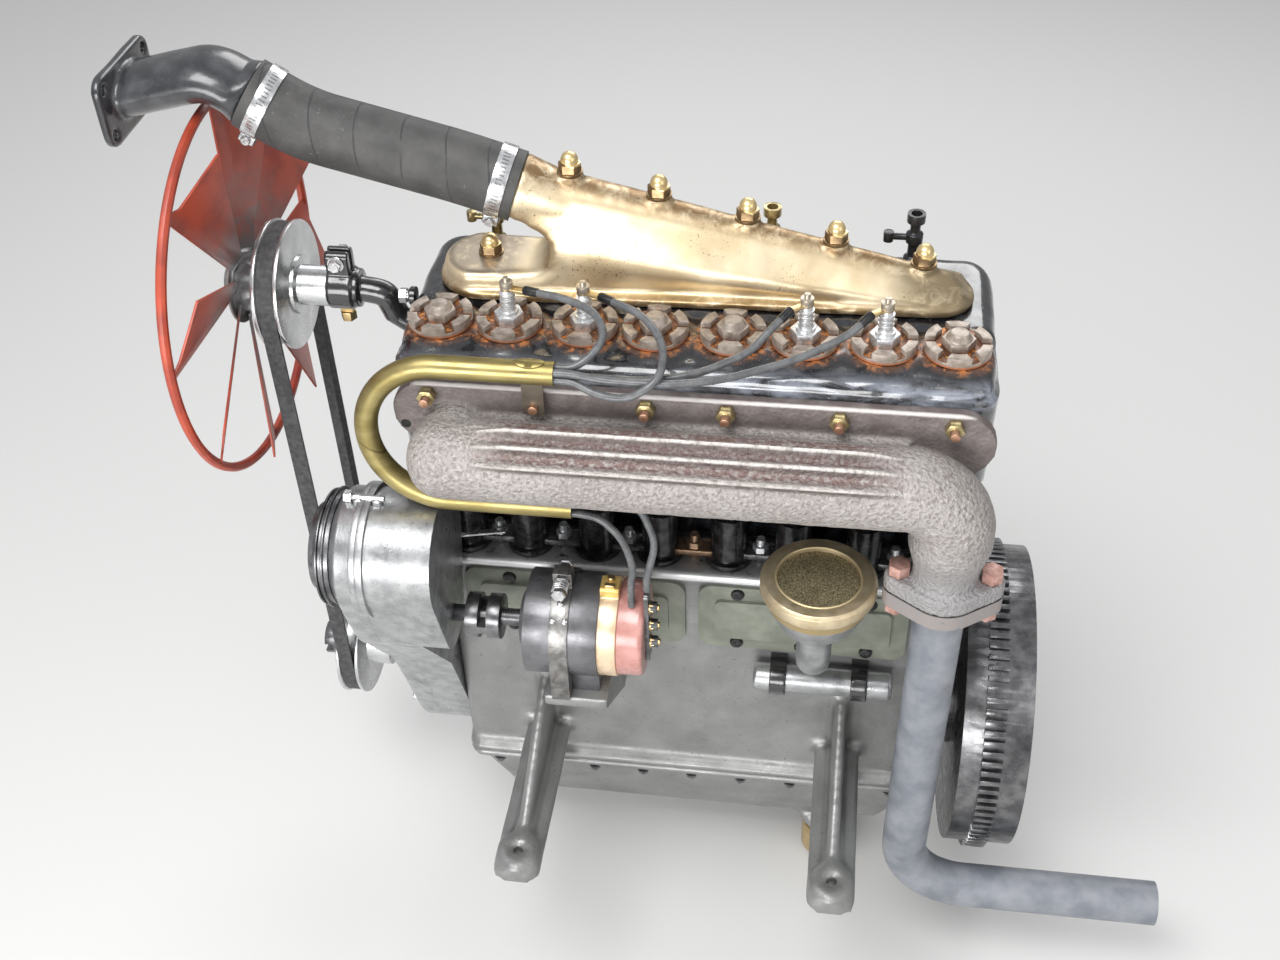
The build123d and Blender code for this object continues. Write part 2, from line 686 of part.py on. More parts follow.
# Brass strainer cap that screws into the floor of the sump
with BuildPart() as strainer_cap:
    strainer_top = SUMP_BOTTOM_Z - SUMP_RIB_HEIGHT
    strainer_low = strainer_top - STRAINER_LENGTH
    with BuildSketch(Plane.XY.offset(strainer_top)):
        with Locations((STRAINER_X, STRAINER_Y)):
            RegularPolygon(radius=STRAINER_COLLAR_HEX / 2, side_count=6, major_radius=False)
    extrude(amount=-SUMP_RIB_HEIGHT)
    with BuildSketch(Plane.XY.offset(strainer_top - SUMP_RIB_HEIGHT)):
        with Locations((STRAINER_X, STRAINER_Y)):
            Circle(STRAINER_RADIUS)
    extrude(amount=strainer_low - strainer_top + 2 * SUMP_RIB_HEIGHT)
    chamfer(strainer_cap.edges().group_by(Axis.Z)[0], STRAINER_CHAMFER)
    with BuildSketch(Plane.XY.offset(strainer_low + SUMP_RIB_HEIGHT)):
        with Locations((STRAINER_X, STRAINER_Y)):
            RegularPolygon(radius=STRAINER_HEX / 4, side_count=6, major_radius=False)
    extrude(amount=-SUMP_RIB_HEIGHT)

# Side covers: two flat plates, each with a raised panel and round-headed screws
with BuildPart() as crankcase_covers:
    for start_x, end_x in COVER_SPANS:
        cover_x = (start_x + end_x) / 2
        cover_z = (COVER_BOTTOM_Z + COVER_TOP_Z) / 2
        length = end_x - start_x
        height = COVER_TOP_Z - COVER_BOTTOM_Z
        with BuildSketch(side_plane(-CASE_HALF_WIDTH, cover_z)):
            with Locations((cover_x, 0)):
                RectangleRounded(length, height, COVER_CORNER)
        extrude(amount=COVER_THICKNESS)
        with BuildSketch(side_plane(-CASE_HALF_WIDTH - COVER_THICKNESS, cover_z)):
            with Locations((cover_x, 0)):
                RectangleRounded(
                    length - 2 * COVER_MARGIN, height - 2 * COVER_MARGIN, COVER_CORNER / 2
                )
        extrude(amount=COVER_PANEL)
        columns = int(length // COVER_SCREW_PITCH)
        with BuildSketch(side_plane(-CASE_HALF_WIDTH - COVER_THICKNESS, cover_z)):
            with Locations((cover_x, 0)):
                with GridLocations(COVER_SCREW_PITCH, height - COVER_MARGIN, columns, 2):
                    Circle(COVER_SCREW_RADIUS)
        extrude(amount=COVER_SCREW_HEIGHT)

# Oil rail: a round bar with domed ends, held to the case by two black saddles
with BuildPart() as oil_rail:
    with BuildSketch(cross_plane(RAIL_START_X, RAIL_Y, RAIL_Z)):
        Circle(RAIL_RADIUS)
    extrude(amount=RAIL_END_X - RAIL_START_X)
    fillet(oil_rail.edges().filter_by(GeomType.CIRCLE), RAIL_RADIUS / 3)

with BuildPart() as oil_rail_clamps:
    for clamp_x in (RAIL_START_X + RAIL_CLAMP_WIDTH, RAIL_END_X - 2.5 * RAIL_CLAMP_WIDTH):
        with BuildSketch(cross_plane(clamp_x, RAIL_Y, RAIL_Z)):
            Circle(RAIL_RADIUS + RAIL_CLAMP_WALL)
            with Locations(((-CASE_HALF_WIDTH - RAIL_Y) / 2, 0)):
                Rectangle(-CASE_HALF_WIDTH - RAIL_Y, 2 * (RAIL_RADIUS + RAIL_CLAMP_WALL))
            Circle(RAIL_RADIUS, mode=Mode.SUBTRACT)
        extrude(amount=RAIL_CLAMP_WIDTH)

# Cylinder block: a water jacket with a valve chest along its near side
with BuildPart() as cylinder_block:
    with BuildSketch(Plane.XY.offset(DECK_Z)):
        with Locations((0, (BLOCK_FAR_Y + JACKET_NEAR_Y) / 2)):
            RectangleRounded(2 * BLOCK_HALF, BLOCK_FAR_Y - JACKET_NEAR_Y, BLOCK_CORNER)
    extrude(amount=BLOCK_TOP_Z - DECK_Z)
    with BuildSketch(Plane.XY.offset(CHEST_FLOOR_Z)):
        with Locations((0, (BLOCK_FAR_Y + CHEST_NEAR_Y) / 2)):
            RectangleRounded(2 * BLOCK_HALF, BLOCK_FAR_Y - CHEST_NEAR_Y, BLOCK_CORNER)
    extrude(amount=BLOCK_TOP_Z - CHEST_FLOOR_Z)
    fillet(cylinder_block.edges().group_by(Axis.Z)[-1], BLOCK_SHOULDER)
    with BuildSketch(Plane.XY.offset(DECK_Z)):
        with Locations((0, (BLOCK_FAR_Y + FOOT_STEP + JACKET_NEAR_Y) / 2)):
            RectangleRounded(
                2 * CASE_HALF - 2 * FOOT_STEP,
                BLOCK_FAR_Y + FOOT_STEP - JACKET_NEAR_Y,
                BLOCK_CORNER,
            )
    extrude(amount=FOOT_THICKNESS)
    with BuildSketch(side_plane(BLOCK_FAR_Y, CORE_PLUG_Z)):
        with Locations(*[(x, 0) for x in CYLINDERS_X]):
            Circle(CORE_PLUG_RADIUS)
    extrude(amount=CORE_PLUG_DEPTH, mode=Mode.SUBTRACT)
    with BuildSketch(side_plane(BLOCK_FAR_Y - CORE_PLUG_DEPTH, CORE_PLUG_Z)):
        with Locations(*[(x, 0) for x in CYLINDERS_X]):
            Circle(CORE_PLUG_RADIUS - CORE_PLUG_DEPTH)
    extrude(amount=-CORE_PLUG_DEPTH / 2)
    with BuildSketch(Plane.XY.offset(BLOCK_TOP_Z)):
        with Locations(*[(x, VALVE_Y) for x in VALVES_X]):
            Circle(CAP_SPIGOT_RADIUS + FIT_GAP)
    extrude(amount=-CAP_SPIGOT_LENGTH - FIT_GAP, mode=Mode.SUBTRACT)

# One valve cap: a castellated ring round a sunk floor, on a spigot with a threaded bore
with BuildPart() as one_cap:
    Cylinder(CAP_SPIGOT_RADIUS, CAP_SPIGOT_LENGTH, align=(Align.CENTER, Align.CENTER, Align.MAX))
    Cylinder(CAP_RADIUS, CAP_HEIGHT, align=(Align.CENTER, Align.CENTER, Align.MIN))
    with BuildSketch(Plane.XY.offset(CAP_HEIGHT)):
        Circle(CAP_RECESS_RADIUS)
        with PolarLocations((CAP_RADIUS + CAP_RECESS_RADIUS) / 2, CAP_SLOTS):
            Rectangle(CAP_RADIUS - CAP_RECESS_RADIUS + 2 * CAP_SLOT_OVERRUN, CAP_SLOT_WIDTH)
    extrude(amount=-CAP_RECESS_DEPTH, mode=Mode.SUBTRACT)
    Hole(CAP_BORE)

with BuildPart() as valve_caps:
    with Locations(*[(x, VALVE_Y, BLOCK_TOP_Z) for x in VALVES_X]):
        add(one_cap.part)

# Hexagon plugs with domed heads in every cap that carries no spark plug
with BuildPart() as one_plug:
    with BuildSketch():
        RegularPolygon(radius=PLUG_HEX / 2, side_count=6, major_radius=False)
    extrude(amount=PLUG_HEX_HEIGHT)
    with BuildSketch(Plane.XY.offset(PLUG_HEX_HEIGHT)):
        Circle(PLUG_HEX / 2 - PLUG_DOME_STEP)
    extrude(amount=PLUG_DOME_HEIGHT, taper=PLUG_DOME_TAPER)
    Cylinder(CAP_BORE - FIT_GAP, CAP_SPIGOT_LENGTH / 2, align=(Align.CENTER, Align.CENTER, Align.MAX))

with BuildPart() as cap_plugs:
    with Locations(*[(x, VALVE_Y, CAP_FLOOR_Z) for x in PLUG_VALVES_X]):
        add(one_plug.part)

# Spark plugs: hexagon body, gland, ribbed insulator and a terminal stud
SPARK_RIB_Z = SPARK_HEX_HEIGHT + SPARK_GLAND_STEP
SPARK_TOP = LEAD_END_Z - CAP_FLOOR_Z - TAB_THICKNESS / 2
with BuildPart() as one_spark_plug:
    add(hexagon_bar(SPARK_HEX, SPARK_HEX_HEIGHT))
    Cylinder(CAP_BORE - FIT_GAP, CAP_SPIGOT_LENGTH / 2, align=(Align.CENTER, Align.CENTER, Align.MAX))
    Cylinder(SPARK_GLAND_RADIUS, SPARK_RIB_Z, align=(Align.CENTER, Align.CENTER, Align.MIN))
    Cylinder(SPARK_NECK_RADIUS, SPARK_TOP, align=(Align.CENTER, Align.CENTER, Align.MIN))
    with Locations(*[(0, 0, SPARK_RIB_Z + SPARK_RIB_PITCH * i) for i in range(SPARK_RIBS)]):
        Cylinder(SPARK_RIB_RADIUS, SPARK_RIB_PITCH * 0.6, align=(Align.CENTER, Align.CENTER, Align.MIN))
    Cylinder(TERMINAL_RADIUS, SPARK_TOP + SPARK_STUD, align=(Align.CENTER, Align.CENTER, Align.MIN))
    with Locations((0, 0, SPARK_TOP + TAB_THICKNESS)):
        Cylinder(TERMINAL_NUT_RADIUS, SPARK_STUD / 2, align=(Align.CENTER, Align.CENTER, Align.MIN))

with BuildPart() as spark_plugs:
    with Locations(*[(x, VALVE_Y, CAP_FLOOR_Z) for x in SPARK_VALVES_X]):
        add(one_spark_plug.part)

# Tappet guides stand in the deck under the valves
with BuildPart() as one_guide:
    Cylinder(GUIDE_SPIGOT_RADIUS, GUIDE_SPIGOT_LENGTH, align=(Align.CENTER, Align.CENTER, Align.MAX))
    Cylinder(
        GUIDE_FLANGE_RADIUS, GUIDE_FLANGE_THICKNESS, align=(Align.CENTER, Align.CENTER, Align.MIN)
    )
    Cylinder(GUIDE_RADIUS, GUIDE_HEIGHT, align=(Align.CENTER, Align.CENTER, Align.MIN))
    Cylinder(
        TAPPET_RADIUS, GUIDE_HEIGHT + STEM_GAP, align=(Align.CENTER, Align.CENTER, Align.MIN)
    )

with BuildPart() as tappet_guides:
    with Locations(*[(x, VALVE_Y, DECK_Z) for x in VALVES_X]):
        add(one_guide.part)

# Steel yokes that hold neighbouring guides down, each under one nut
with BuildPart() as tappet_clamps:
    yoke_z = DECK_Z + GUIDE_FLANGE_THICKNESS
    for left_x, right_x in zip(VALVES_X, VALVES_X[1:]):
        middle_x = (left_x + right_x) / 2
        with BuildSketch(Plane.XY.offset(yoke_z)):
            with Locations((middle_x, VALVE_Y)):
                SlotOverall(right_x - left_x - GUIDE_RADIUS, YOKE_WIDTH)
            with Locations((left_x, VALVE_Y), (right_x, VALVE_Y)):
                Circle(GUIDE_RADIUS + FIT_GAP, mode=Mode.SUBTRACT)
        extrude(amount=YOKE_THICKNESS)
        with Locations((middle_x, VALVE_Y, DECK_Z)):
            Cylinder(
                YOKE_NUT_HEX / 2, GUIDE_FLANGE_THICKNESS, align=(Align.CENTER, Align.CENTER, Align.MIN)
            )
            Cylinder(
                YOKE_STUD_RADIUS, YOKE_STUD_HEIGHT, align=(Align.CENTER, Align.CENTER, Align.MIN)
            )
        with BuildSketch(Plane.XY.offset(yoke_z + YOKE_THICKNESS)):
            with Locations((middle_x, VALVE_Y)):
                RegularPolygon(radius=YOKE_NUT_HEX / 2, side_count=6, major_radius=False)
        extrude(amount=YOKE_NUT_HEX / 2)

# Valve stems with their lower spring seats, and the springs' outer shape round them
with BuildPart() as valve_stems:
    stem_low = DECK_Z + GUIDE_HEIGHT + STEM_GAP
    with Locations(*[(x, VALVE_Y, stem_low) for x in VALVES_X]):
        Cylinder(
            STEM_RADIUS, CHEST_FLOOR_Z - stem_low, align=(Align.CENTER, Align.CENTER, Align.MIN)
        )
    with Locations(*[(x, VALVE_Y, SPRING_SEAT_Z) for x in VALVES_X]):
        Cylinder(
            SPRING_SEAT_RADIUS, SPRING_SEAT_THICKNESS, align=(Align.CENTER, Align.CENTER, Align.MIN)
        )

with BuildPart() as valve_springs:
    with BuildSketch(Plane.XY.offset(SPRING_SEAT_Z + SPRING_SEAT_THICKNESS)):
        with Locations(*[(x, VALVE_Y) for x in VALVES_X]):
            Circle(SPRING_RADIUS)
            Circle(STEM_RADIUS + FIT_GAP, mode=Mode.SUBTRACT)
    extrude(amount=CHEST_FLOOR_Z - SPRING_SEAT_Z - SPRING_SEAT_THICKNESS)

# Timing case: one outline joins the shaft, camshaft, magneto and pump drives
with BuildSketch(cross_plane(0)) as timing_outline:
    for first, second in (
        ((0, 0, TIMING_CRANK_RADIUS), (TIMING_CAM_Y, TIMING_CAM_Z, TIMING_CAM_RADIUS)),
        ((TIMING_CAM_Y, TIMING_CAM_Z, TIMING_CAM_RADIUS), (LOBE_Y, LOBE_Z, LOBE_RADIUS)),
        ((LOBE_Y, LOBE_Z, LOBE_RADIUS), (MAGNETO_Y, MAGNETO_Z, MAGNETO_LOBE_RADIUS)),
        ((TIMING_CAM_Y, TIMING_CAM_Z, TIMING_CAM_RADIUS), (MAGNETO_Y, MAGNETO_Z, MAGNETO_LOBE_RADIUS)),
        ((0, 0, TIMING_CRANK_RADIUS), (PUMP_Y, PUMP_Z, PUMP_LOBE_RADIUS)),
        ((TIMING_CAM_Y, TIMING_CAM_Z, TIMING_CAM_RADIUS), (PUMP_Y, PUMP_Z, PUMP_LOBE_RADIUS)),
    ):
        with BuildSketch(Plane.XY, mode=Mode.PRIVATE) as link:
            with Locations(first[:2]):
                Circle(first[2])
            with Locations(second[:2]):
                Circle(second[2])
            make_hull()
        add(link.sketch)

with BuildPart() as timing_case:
    with BuildSketch(cross_plane(-CASE_HALF)):
        add(timing_outline.sketch_local)
    extrude(amount=-TIMING_DEPTH)
    with BuildSketch(cross_plane(-CASE_HALF)):
        with Locations((LOBE_Y, LOBE_Z), (MAGNETO_Y, MAGNETO_Z)):
            Circle(MAGNETO_LOBE_RADIUS)
        with Locations((LOBE_Y, LOBE_Z)):
            Circle(LOBE_RADIUS)
        make_hull()
    extrude(amount=LOBE_REAR_DEPTH - TIMING_DEPTH)
    with BuildSketch(cross_plane(TIMING_JOINT_X)):
        with Locations((LOBE_Y, LOBE_Z)):
            Circle(LOBE_RADIUS + LOBE_BAND_STEP)
    extrude(amount=LOBE_BAND_WIDTH)
    with BuildSketch(cross_plane(TIMING_JOINT_X)):
        Circle(SHAFT_RADIUS + RUNNING_GAP)
    extrude(amount=TIMING_DEPTH, mode=Mode.SUBTRACT)
    with BuildSketch(cross_plane(TIMING_JOINT_X)):
        with Locations((MAGNETO_Y, MAGNETO_Z)):
            Circle(DRIVE_SHAFT_RADIUS + RUNNING_GAP)
    extrude(amount=LOBE_REAR_DEPTH, mode=Mode.SUBTRACT)

with BuildPart() as timing_cover:
    with BuildSketch(cross_plane(TIMING_JOINT_X)):
        add(timing_outline.sketch_local)
    extrude(amount=-TIMING_COVER_DEPTH)
    chamfer(timing_cover.edges().group_by(Axis.X)[0], TIMING_COVER_CHAMFER)
    with BuildSketch(cross_plane(TIMING_JOINT_X)):
        with Locations((LOBE_Y, LOBE_Z)):
            Circle(LOBE_RADIUS + LOBE_BAND_STEP)
    extrude(amount=-LOBE_BAND_WIDTH)
    with BuildSketch(cross_plane(TIMING_JOINT_X)):
        Circle(SHAFT_RADIUS + RUNNING_GAP)
    extrude(amount=-TIMING_COVER_DEPTH, mode=Mode.SUBTRACT)

# Ribbed cap that closes the front of the magneto drive
with BuildPart() as timing_end_cap:
    cap_profile = [(TIMING_FRONT_X, 0)]
    last_x = TIMING_FRONT_X
    for depth, radius in END_CAP_STEPS:
        cap_profile += [(last_x, radius), (TIMING_FRONT_X - depth, radius)]
        last_x = TIMING_FRONT_X - depth
    cap_profile.append((last_x, 0))
    add(turned_on_x(cap_profile, LOBE_Y, LOBE_Z))

# Crankshaft: only the straight line of journals, with the nose, its dog and the flange
with BuildPart() as crankshaft:
    nose_end_x = TIMING_FRONT_X - NOSE_SHOULDER
    add(turned_on_x([
        (NOSE_FRONT_X - DOG_LENGTH, 0),
        (NOSE_FRONT_X - DOG_LENGTH, DOG_RADIUS),
        (NOSE_FRONT_X, DOG_RADIUS),
        (NOSE_FRONT_X, NOSE_RADIUS),
        (nose_end_x, NOSE_RADIUS),
        (nose_end_x, SHAFT_RADIUS),
        (CRANK_FLANGE_X, SHAFT_RADIUS),
        (CRANK_FLANGE_X, CRANK_FLANGE_RADIUS),
        (CRANK_FLANGE_X + CRANK_FLANGE_THICKNESS, CRANK_FLANGE_RADIUS),
        (CRANK_FLANGE_X + CRANK_FLANGE_THICKNESS, 0),
    ]))
    with BuildSketch(cross_plane(NOSE_FRONT_X - DOG_LENGTH)):
        Rectangle(3 * DOG_RADIUS, DOG_SLOT_WIDTH)
        Circle(DOG_RADIUS / 2)
    extrude(amount=DOG_LENGTH / 2, mode=Mode.SUBTRACT)

# Pulley groove profile shared by the fan's and the crankshaft's pulleys
def pulley_rim(radius, hub_radius, bore, front_x, rear_x):
    """A pulley turned from its rim, web and hub, with a groove that the belt lies in."""
    half_top = BELT_TOP_WIDTH / 2 + BELT_CLEARANCE
    half_bottom = BELT_INNER_WIDTH / 2 + BELT_CLEARANCE
    belt_outer = radius - PULLEY_GROOVE_LIP
    groove_floor = belt_outer - BELT_DEPTH - BELT_CLEARANCE
    slope = (half_top - half_bottom) / BELT_DEPTH
    half_rim = half_top + slope * PULLEY_GROOVE_LIP
    return turned_on_x([
        (front_x, bore),
        (front_x, hub_radius),
        (BELT_X - half_rim - PULLEY_FLANGE, hub_radius),
        (BELT_X - half_rim - PULLEY_FLANGE, radius),
        (BELT_X - half_rim, radius),
        (BELT_X - half_bottom, groove_floor),
        (BELT_X + half_bottom, groove_floor),
        (BELT_X + half_rim, radius),
        (BELT_X + half_rim + PULLEY_FLANGE, radius),
        (BELT_X + half_rim + PULLEY_FLANGE, hub_radius),
        (rear_x, hub_radius),
        (rear_x, bore),
    ])


with BuildPart() as crank_pulley:
    add(pulley_rim(
        CRANK_PULLEY_RADIUS,
        NOSE_RADIUS + CRANK_HUB_WALL,
        NOSE_RADIUS,
        NOSE_FRONT_X,
        nose_end_x - CRANK_HUB_GAP,
    ))

# Flywheel: a rim on a dished web, ringed with starter teeth and drilled for the clutch
with BuildPart() as flywheel:
    wheel_x = CRANK_FLANGE_X + CRANK_FLANGE_THICKNESS
    add(turned_on_x([
        (wheel_x, 0),
        (wheel_x, FLYWHEEL_RADIUS),
        (wheel_x + FLYWHEEL_WIDTH, FLYWHEEL_RADIUS),
        (wheel_x + FLYWHEEL_WIDTH, FLYWHEEL_RADIUS - FLYWHEEL_RIM),
        (wheel_x + FLYWHEEL_WEB, FLYWHEEL_RADIUS - FLYWHEEL_RIM - FLYWHEEL_DISH),
        (wheel_x + FLYWHEEL_WEB, FLYWHEEL_HUB_RADIUS),
        (wheel_x + FLYWHEEL_WEB + FLYWHEEL_HUB_HEIGHT, FLYWHEEL_HUB_TOP_RADIUS),
        (wheel_x + FLYWHEEL_WEB + FLYWHEEL_HUB_HEIGHT, 0),
    ]))
    tooth_pitch = 2 * pi * FLYWHEEL_RADIUS / GEAR_TEETH
    with BuildSketch(cross_plane(wheel_x + FLYWHEEL_WEB)):
        with PolarLocations(FLYWHEEL_RADIUS + (GEAR_TOOTH_HEIGHT - GEAR_TOOTH_ROOT) / 2, GEAR_TEETH):
            Rectangle(GEAR_TOOTH_HEIGHT + GEAR_TOOTH_ROOT, tooth_pitch / 2)
    extrude(amount=GEAR_WIDTH)
    with BuildSketch(cross_plane(wheel_x + FLYWHEEL_WIDTH)):
        with PolarLocations(CLUTCH_BOLT_CIRCLE, CLUTCH_BOLTS):
            Circle(CLUTCH_HOLE_RADIUS)
    extrude(amount=-CLUTCH_HOLE_DEPTH, mode=Mode.SUBTRACT)

# Fan pulley with its drum in front and a long bush behind, running on the spindle
with BuildPart() as fan_pulley:
    half_rim_width = BELT_TOP_WIDTH / 2 + BELT_CLEARANCE + PULLEY_FLANGE
    hub_front_x = FAN_X + BLADE_THICKNESS / 2
    rim = pulley_rim(
        FAN_PULLEY_RADIUS,
        HUB_DRUM_RADIUS,
        SPINDLE_RADIUS + RUNNING_GAP,
        hub_front_x,
        BELT_X + half_rim_width + HUB_STEP,
    )
    add(rim.moved(Location((0, 0, FAN_Z))))
    add(turned_on_x([
        (BELT_X, SPINDLE_RADIUS + RUNNING_GAP),
        (BELT_X, HUB_REAR_RADIUS),
        (CLAMP_FRONT_X - CLAMP_GAP, HUB_REAR_RADIUS),
        (CLAMP_FRONT_X - CLAMP_GAP, SPINDLE_RADIUS + RUNNING_GAP),
    ], 0, FAN_Z))

# Fan: eight bent sheet blades between a spider disc and a rolled rim
with BuildPart() as fan:
    with BuildSketch(side_plane(0, FAN_Z)):
        with Locations((FAN_X, FAN_RADIUS - FAN_RIM_RADIUS)):
            RegularPolygon(radius=FAN_RIM_RADIUS, side_count=8, rotation=22.5)
    revolve(axis=Axis((0, 0, FAN_Z), (1, 0, 0)))
    for i in range(FAN_BLADES):
        angle = radians(BLADE_FIRST_ANGLE + 360 / FAN_BLADES * i)
        outward = Vector(0, cos(angle), sin(angle))
        backward = Vector(cos(radians(90 - BLADE_PITCH_ANGLE)), 0, 0)
        across = Vector(0, sin(angle), -cos(angle)) * cos(radians(BLADE_PITCH_ANGLE)) + backward
        blade_plane = Plane(origin=(FAN_X, 0, FAN_Z), x_dir=outward, z_dir=outward.cross(across))
        with BuildSketch(blade_plane):
            with BuildLine():
                Polyline(
                    (BLADE_ROOT_RADIUS, 0),
                    (FAN_RADIUS - FAN_RIM_RADIUS, 0),
                    (FAN_RADIUS - FAN_RIM_RADIUS, BLADE_NECK_WIDTH / 2),
                    (BLADE_TIP_RADIUS, BLADE_NECK_WIDTH),
                    (BLADE_TIP_RADIUS - BLADE_TIP_SLOPE, BLADE_TIP_WIDTH),
                    (BLADE_ROOT_RADIUS, BLADE_ROOT_WIDTH),
                    close=True,
                )
            make_face()
        extrude(amount=BLADE_THICKNESS / 2, both=True)
    add(turned_on_x([
        (FAN_X - BLADE_THICKNESS / 2 - FAN_NUT_LENGTH, SPINDLE_RADIUS + RUNNING_GAP),
        (FAN_X - BLADE_THICKNESS / 2 - FAN_NUT_LENGTH, FAN_NUT_RADIUS),
        (FAN_X - BLADE_THICKNESS / 2, FAN_NUT_RADIUS),
        (FAN_X - BLADE_THICKNESS / 2, SPIDER_RADIUS),
        (FAN_X + BLADE_THICKNESS / 2, SPIDER_RADIUS),
        (FAN_X + BLADE_THICKNESS / 2, SPINDLE_RADIUS + RUNNING_GAP),
    ], 0, FAN_Z))
    # The blades' roots are trimmed flush with the disc, where the pulley's drum bears
    with BuildSketch(cross_plane(FAN_X + BLADE_THICKNESS / 2, 0, FAN_Z)):
        Circle(HUB_DRUM_RADIUS + ROOT_TRIM_MARGIN)
    extrude(amount=3 * HUB_DRUM_RADIUS, mode=Mode.SUBTRACT)

# Spindle, fixed in the bracket's clamp and ended by a thrust nut
with BuildPart() as fan_spindle:
    spindle_front = FAN_X - BLADE_THICKNESS / 2 - FAN_NUT_LENGTH - SPINDLE_GAP
    spindle_nut_x = spindle_front - SPINDLE_NUT_LENGTH
    add(turned_on_x([
        (spindle_nut_x - SPINDLE_TIP_LENGTH, 0),
        (spindle_nut_x - SPINDLE_TIP_LENGTH, SPINDLE_TIP_RADIUS),
        (spindle_nut_x, SPINDLE_TIP_BASE),
        (spindle_nut_x, SPINDLE_NUT_RADIUS),
        (spindle_front, SPINDLE_NUT_RADIUS),
        (spindle_front, SPINDLE_RADIUS),
        (CLAMP_REAR_X, SPINDLE_RADIUS),
        (CLAMP_REAR_X, 0),
    ], 0, FAN_Z))

# Black cast bracket: split clamp, cranked arm and a round foot on the block
with BuildPart() as bracket_arm:
    add(tube(
        [
            (CLAMP_REAR_X - CLAMP_LAP, 0, FAN_Z),
            (BRACKET_BACK_X, 0, FAN_Z - BRACKET_ARM_DROP),
            (BRACKET_BACK_X + BRACKET_ARM_LEAN, 0, BRACKET_FOOT_Z),
            (-BLOCK_HALF, 0, BRACKET_FOOT_Z),
        ],
        [BRACKET_ARM_BEND, BRACKET_ARM_BEND],
        BRACKET_ARM_RADIUS,
    ))

with BuildPart() as fan_bracket:
    add(bracket_arm.part)
    with BuildSketch(cross_plane(CLAMP_FRONT_X, 0, FAN_Z)):
        Circle(CLAMP_RADIUS)
        with Locations((0, CLAMP_LUG_TOP / 2)):
            RectangleRounded(CLAMP_LUG_WIDTH, CLAMP_LUG_TOP, CLAMP_LUG_CORNER)
    extrude(amount=CLAMP_REAR_X - CLAMP_FRONT_X)
    with BuildSketch(cross_plane(CLAMP_FRONT_X, 0, FAN_Z)):
        Circle(SPINDLE_RADIUS + RUNNING_GAP)
        with Locations((0, CLAMP_LUG_TOP)):
            Rectangle(CLAMP_SLIT, 2 * CLAMP_LUG_TOP)
    extrude(amount=CLAMP_REAR_X - CLAMP_FRONT_X, mode=Mode.SUBTRACT)
    with BuildSketch(cross_plane(CLAMP_REAR_X, 0, FAN_Z)):
        Circle(CLAMP_COLLAR_RADIUS)
    extrude(amount=CLAMP_COLLAR_DEPTH)
    with BuildSketch(cross_plane(-BLOCK_HALF, 0, BRACKET_FOOT_Z)):
        Circle(BRACKET_FOOT_RADIUS)
    extrude(amount=-BRACKET_FOOT_THICKNESS)

# Brass grease plug under the clamp
with BuildPart() as grease_plug:
    grease_x = (CLAMP_FRONT_X + CLAMP_REAR_X) / 2
    with BuildSketch(Plane.XY.offset(FAN_Z - CLAMP_RADIUS)):
        with Locations((grease_x, 0)):
            Rectangle(GREASE_PAD_LENGTH, GREASE_PAD_WIDTH)
    extrude(amount=-GREASE_PAD_HEIGHT)
    with BuildSketch(Plane.XY.offset(FAN_Z - CLAMP_RADIUS - GREASE_PAD_HEIGHT)):
        with Locations((grease_x, 0)):
            RegularPolygon(radius=GREASE_HEX / 2, side_count=6, major_radius=False)
    extrude(amount=-GREASE_HEX_HEIGHT)

# Belt: a closed loop of V section, cut from the hull of the two pulleys
def belt_outline(inset):
    """The hull round both pulleys at a depth below the belt's back."""
    with BuildSketch(Plane.XY) as outline:
        Circle(CRANK_PULLEY_RADIUS - PULLEY_GROOVE_LIP - inset)
        with Locations((0, FAN_Z)):
            Circle(FAN_PULLEY_RADIUS - PULLEY_GROOVE_LIP - inset)
        make_hull()
    return outline.sketch


with BuildPart() as fan_belt:
    back_outline = belt_outline(0)
    inner_outline = belt_outline(BELT_DEPTH)
    with BuildSketch(cross_plane(BELT_X - BELT_TOP_WIDTH / 2)):
        add(back_outline)
    extrude(amount=BELT_TOP_WIDTH)
    with BuildSketch(cross_plane(BELT_X - BELT_INNER_WIDTH / 2)):
        add(inner_outline)
    extrude(amount=BELT_INNER_WIDTH, mode=Mode.SUBTRACT)
    for side in (-1, 1):
        with BuildSketch(cross_plane(BELT_X + side * BELT_INNER_WIDTH / 2)):
            add(inner_outline)
        with BuildSketch(cross_plane(BELT_X + side * BELT_TOP_WIDTH / 2)):
            add(belt_outline(BELT_EDGE))
        loft(ruled=True, mode=Mode.SUBTRACT)

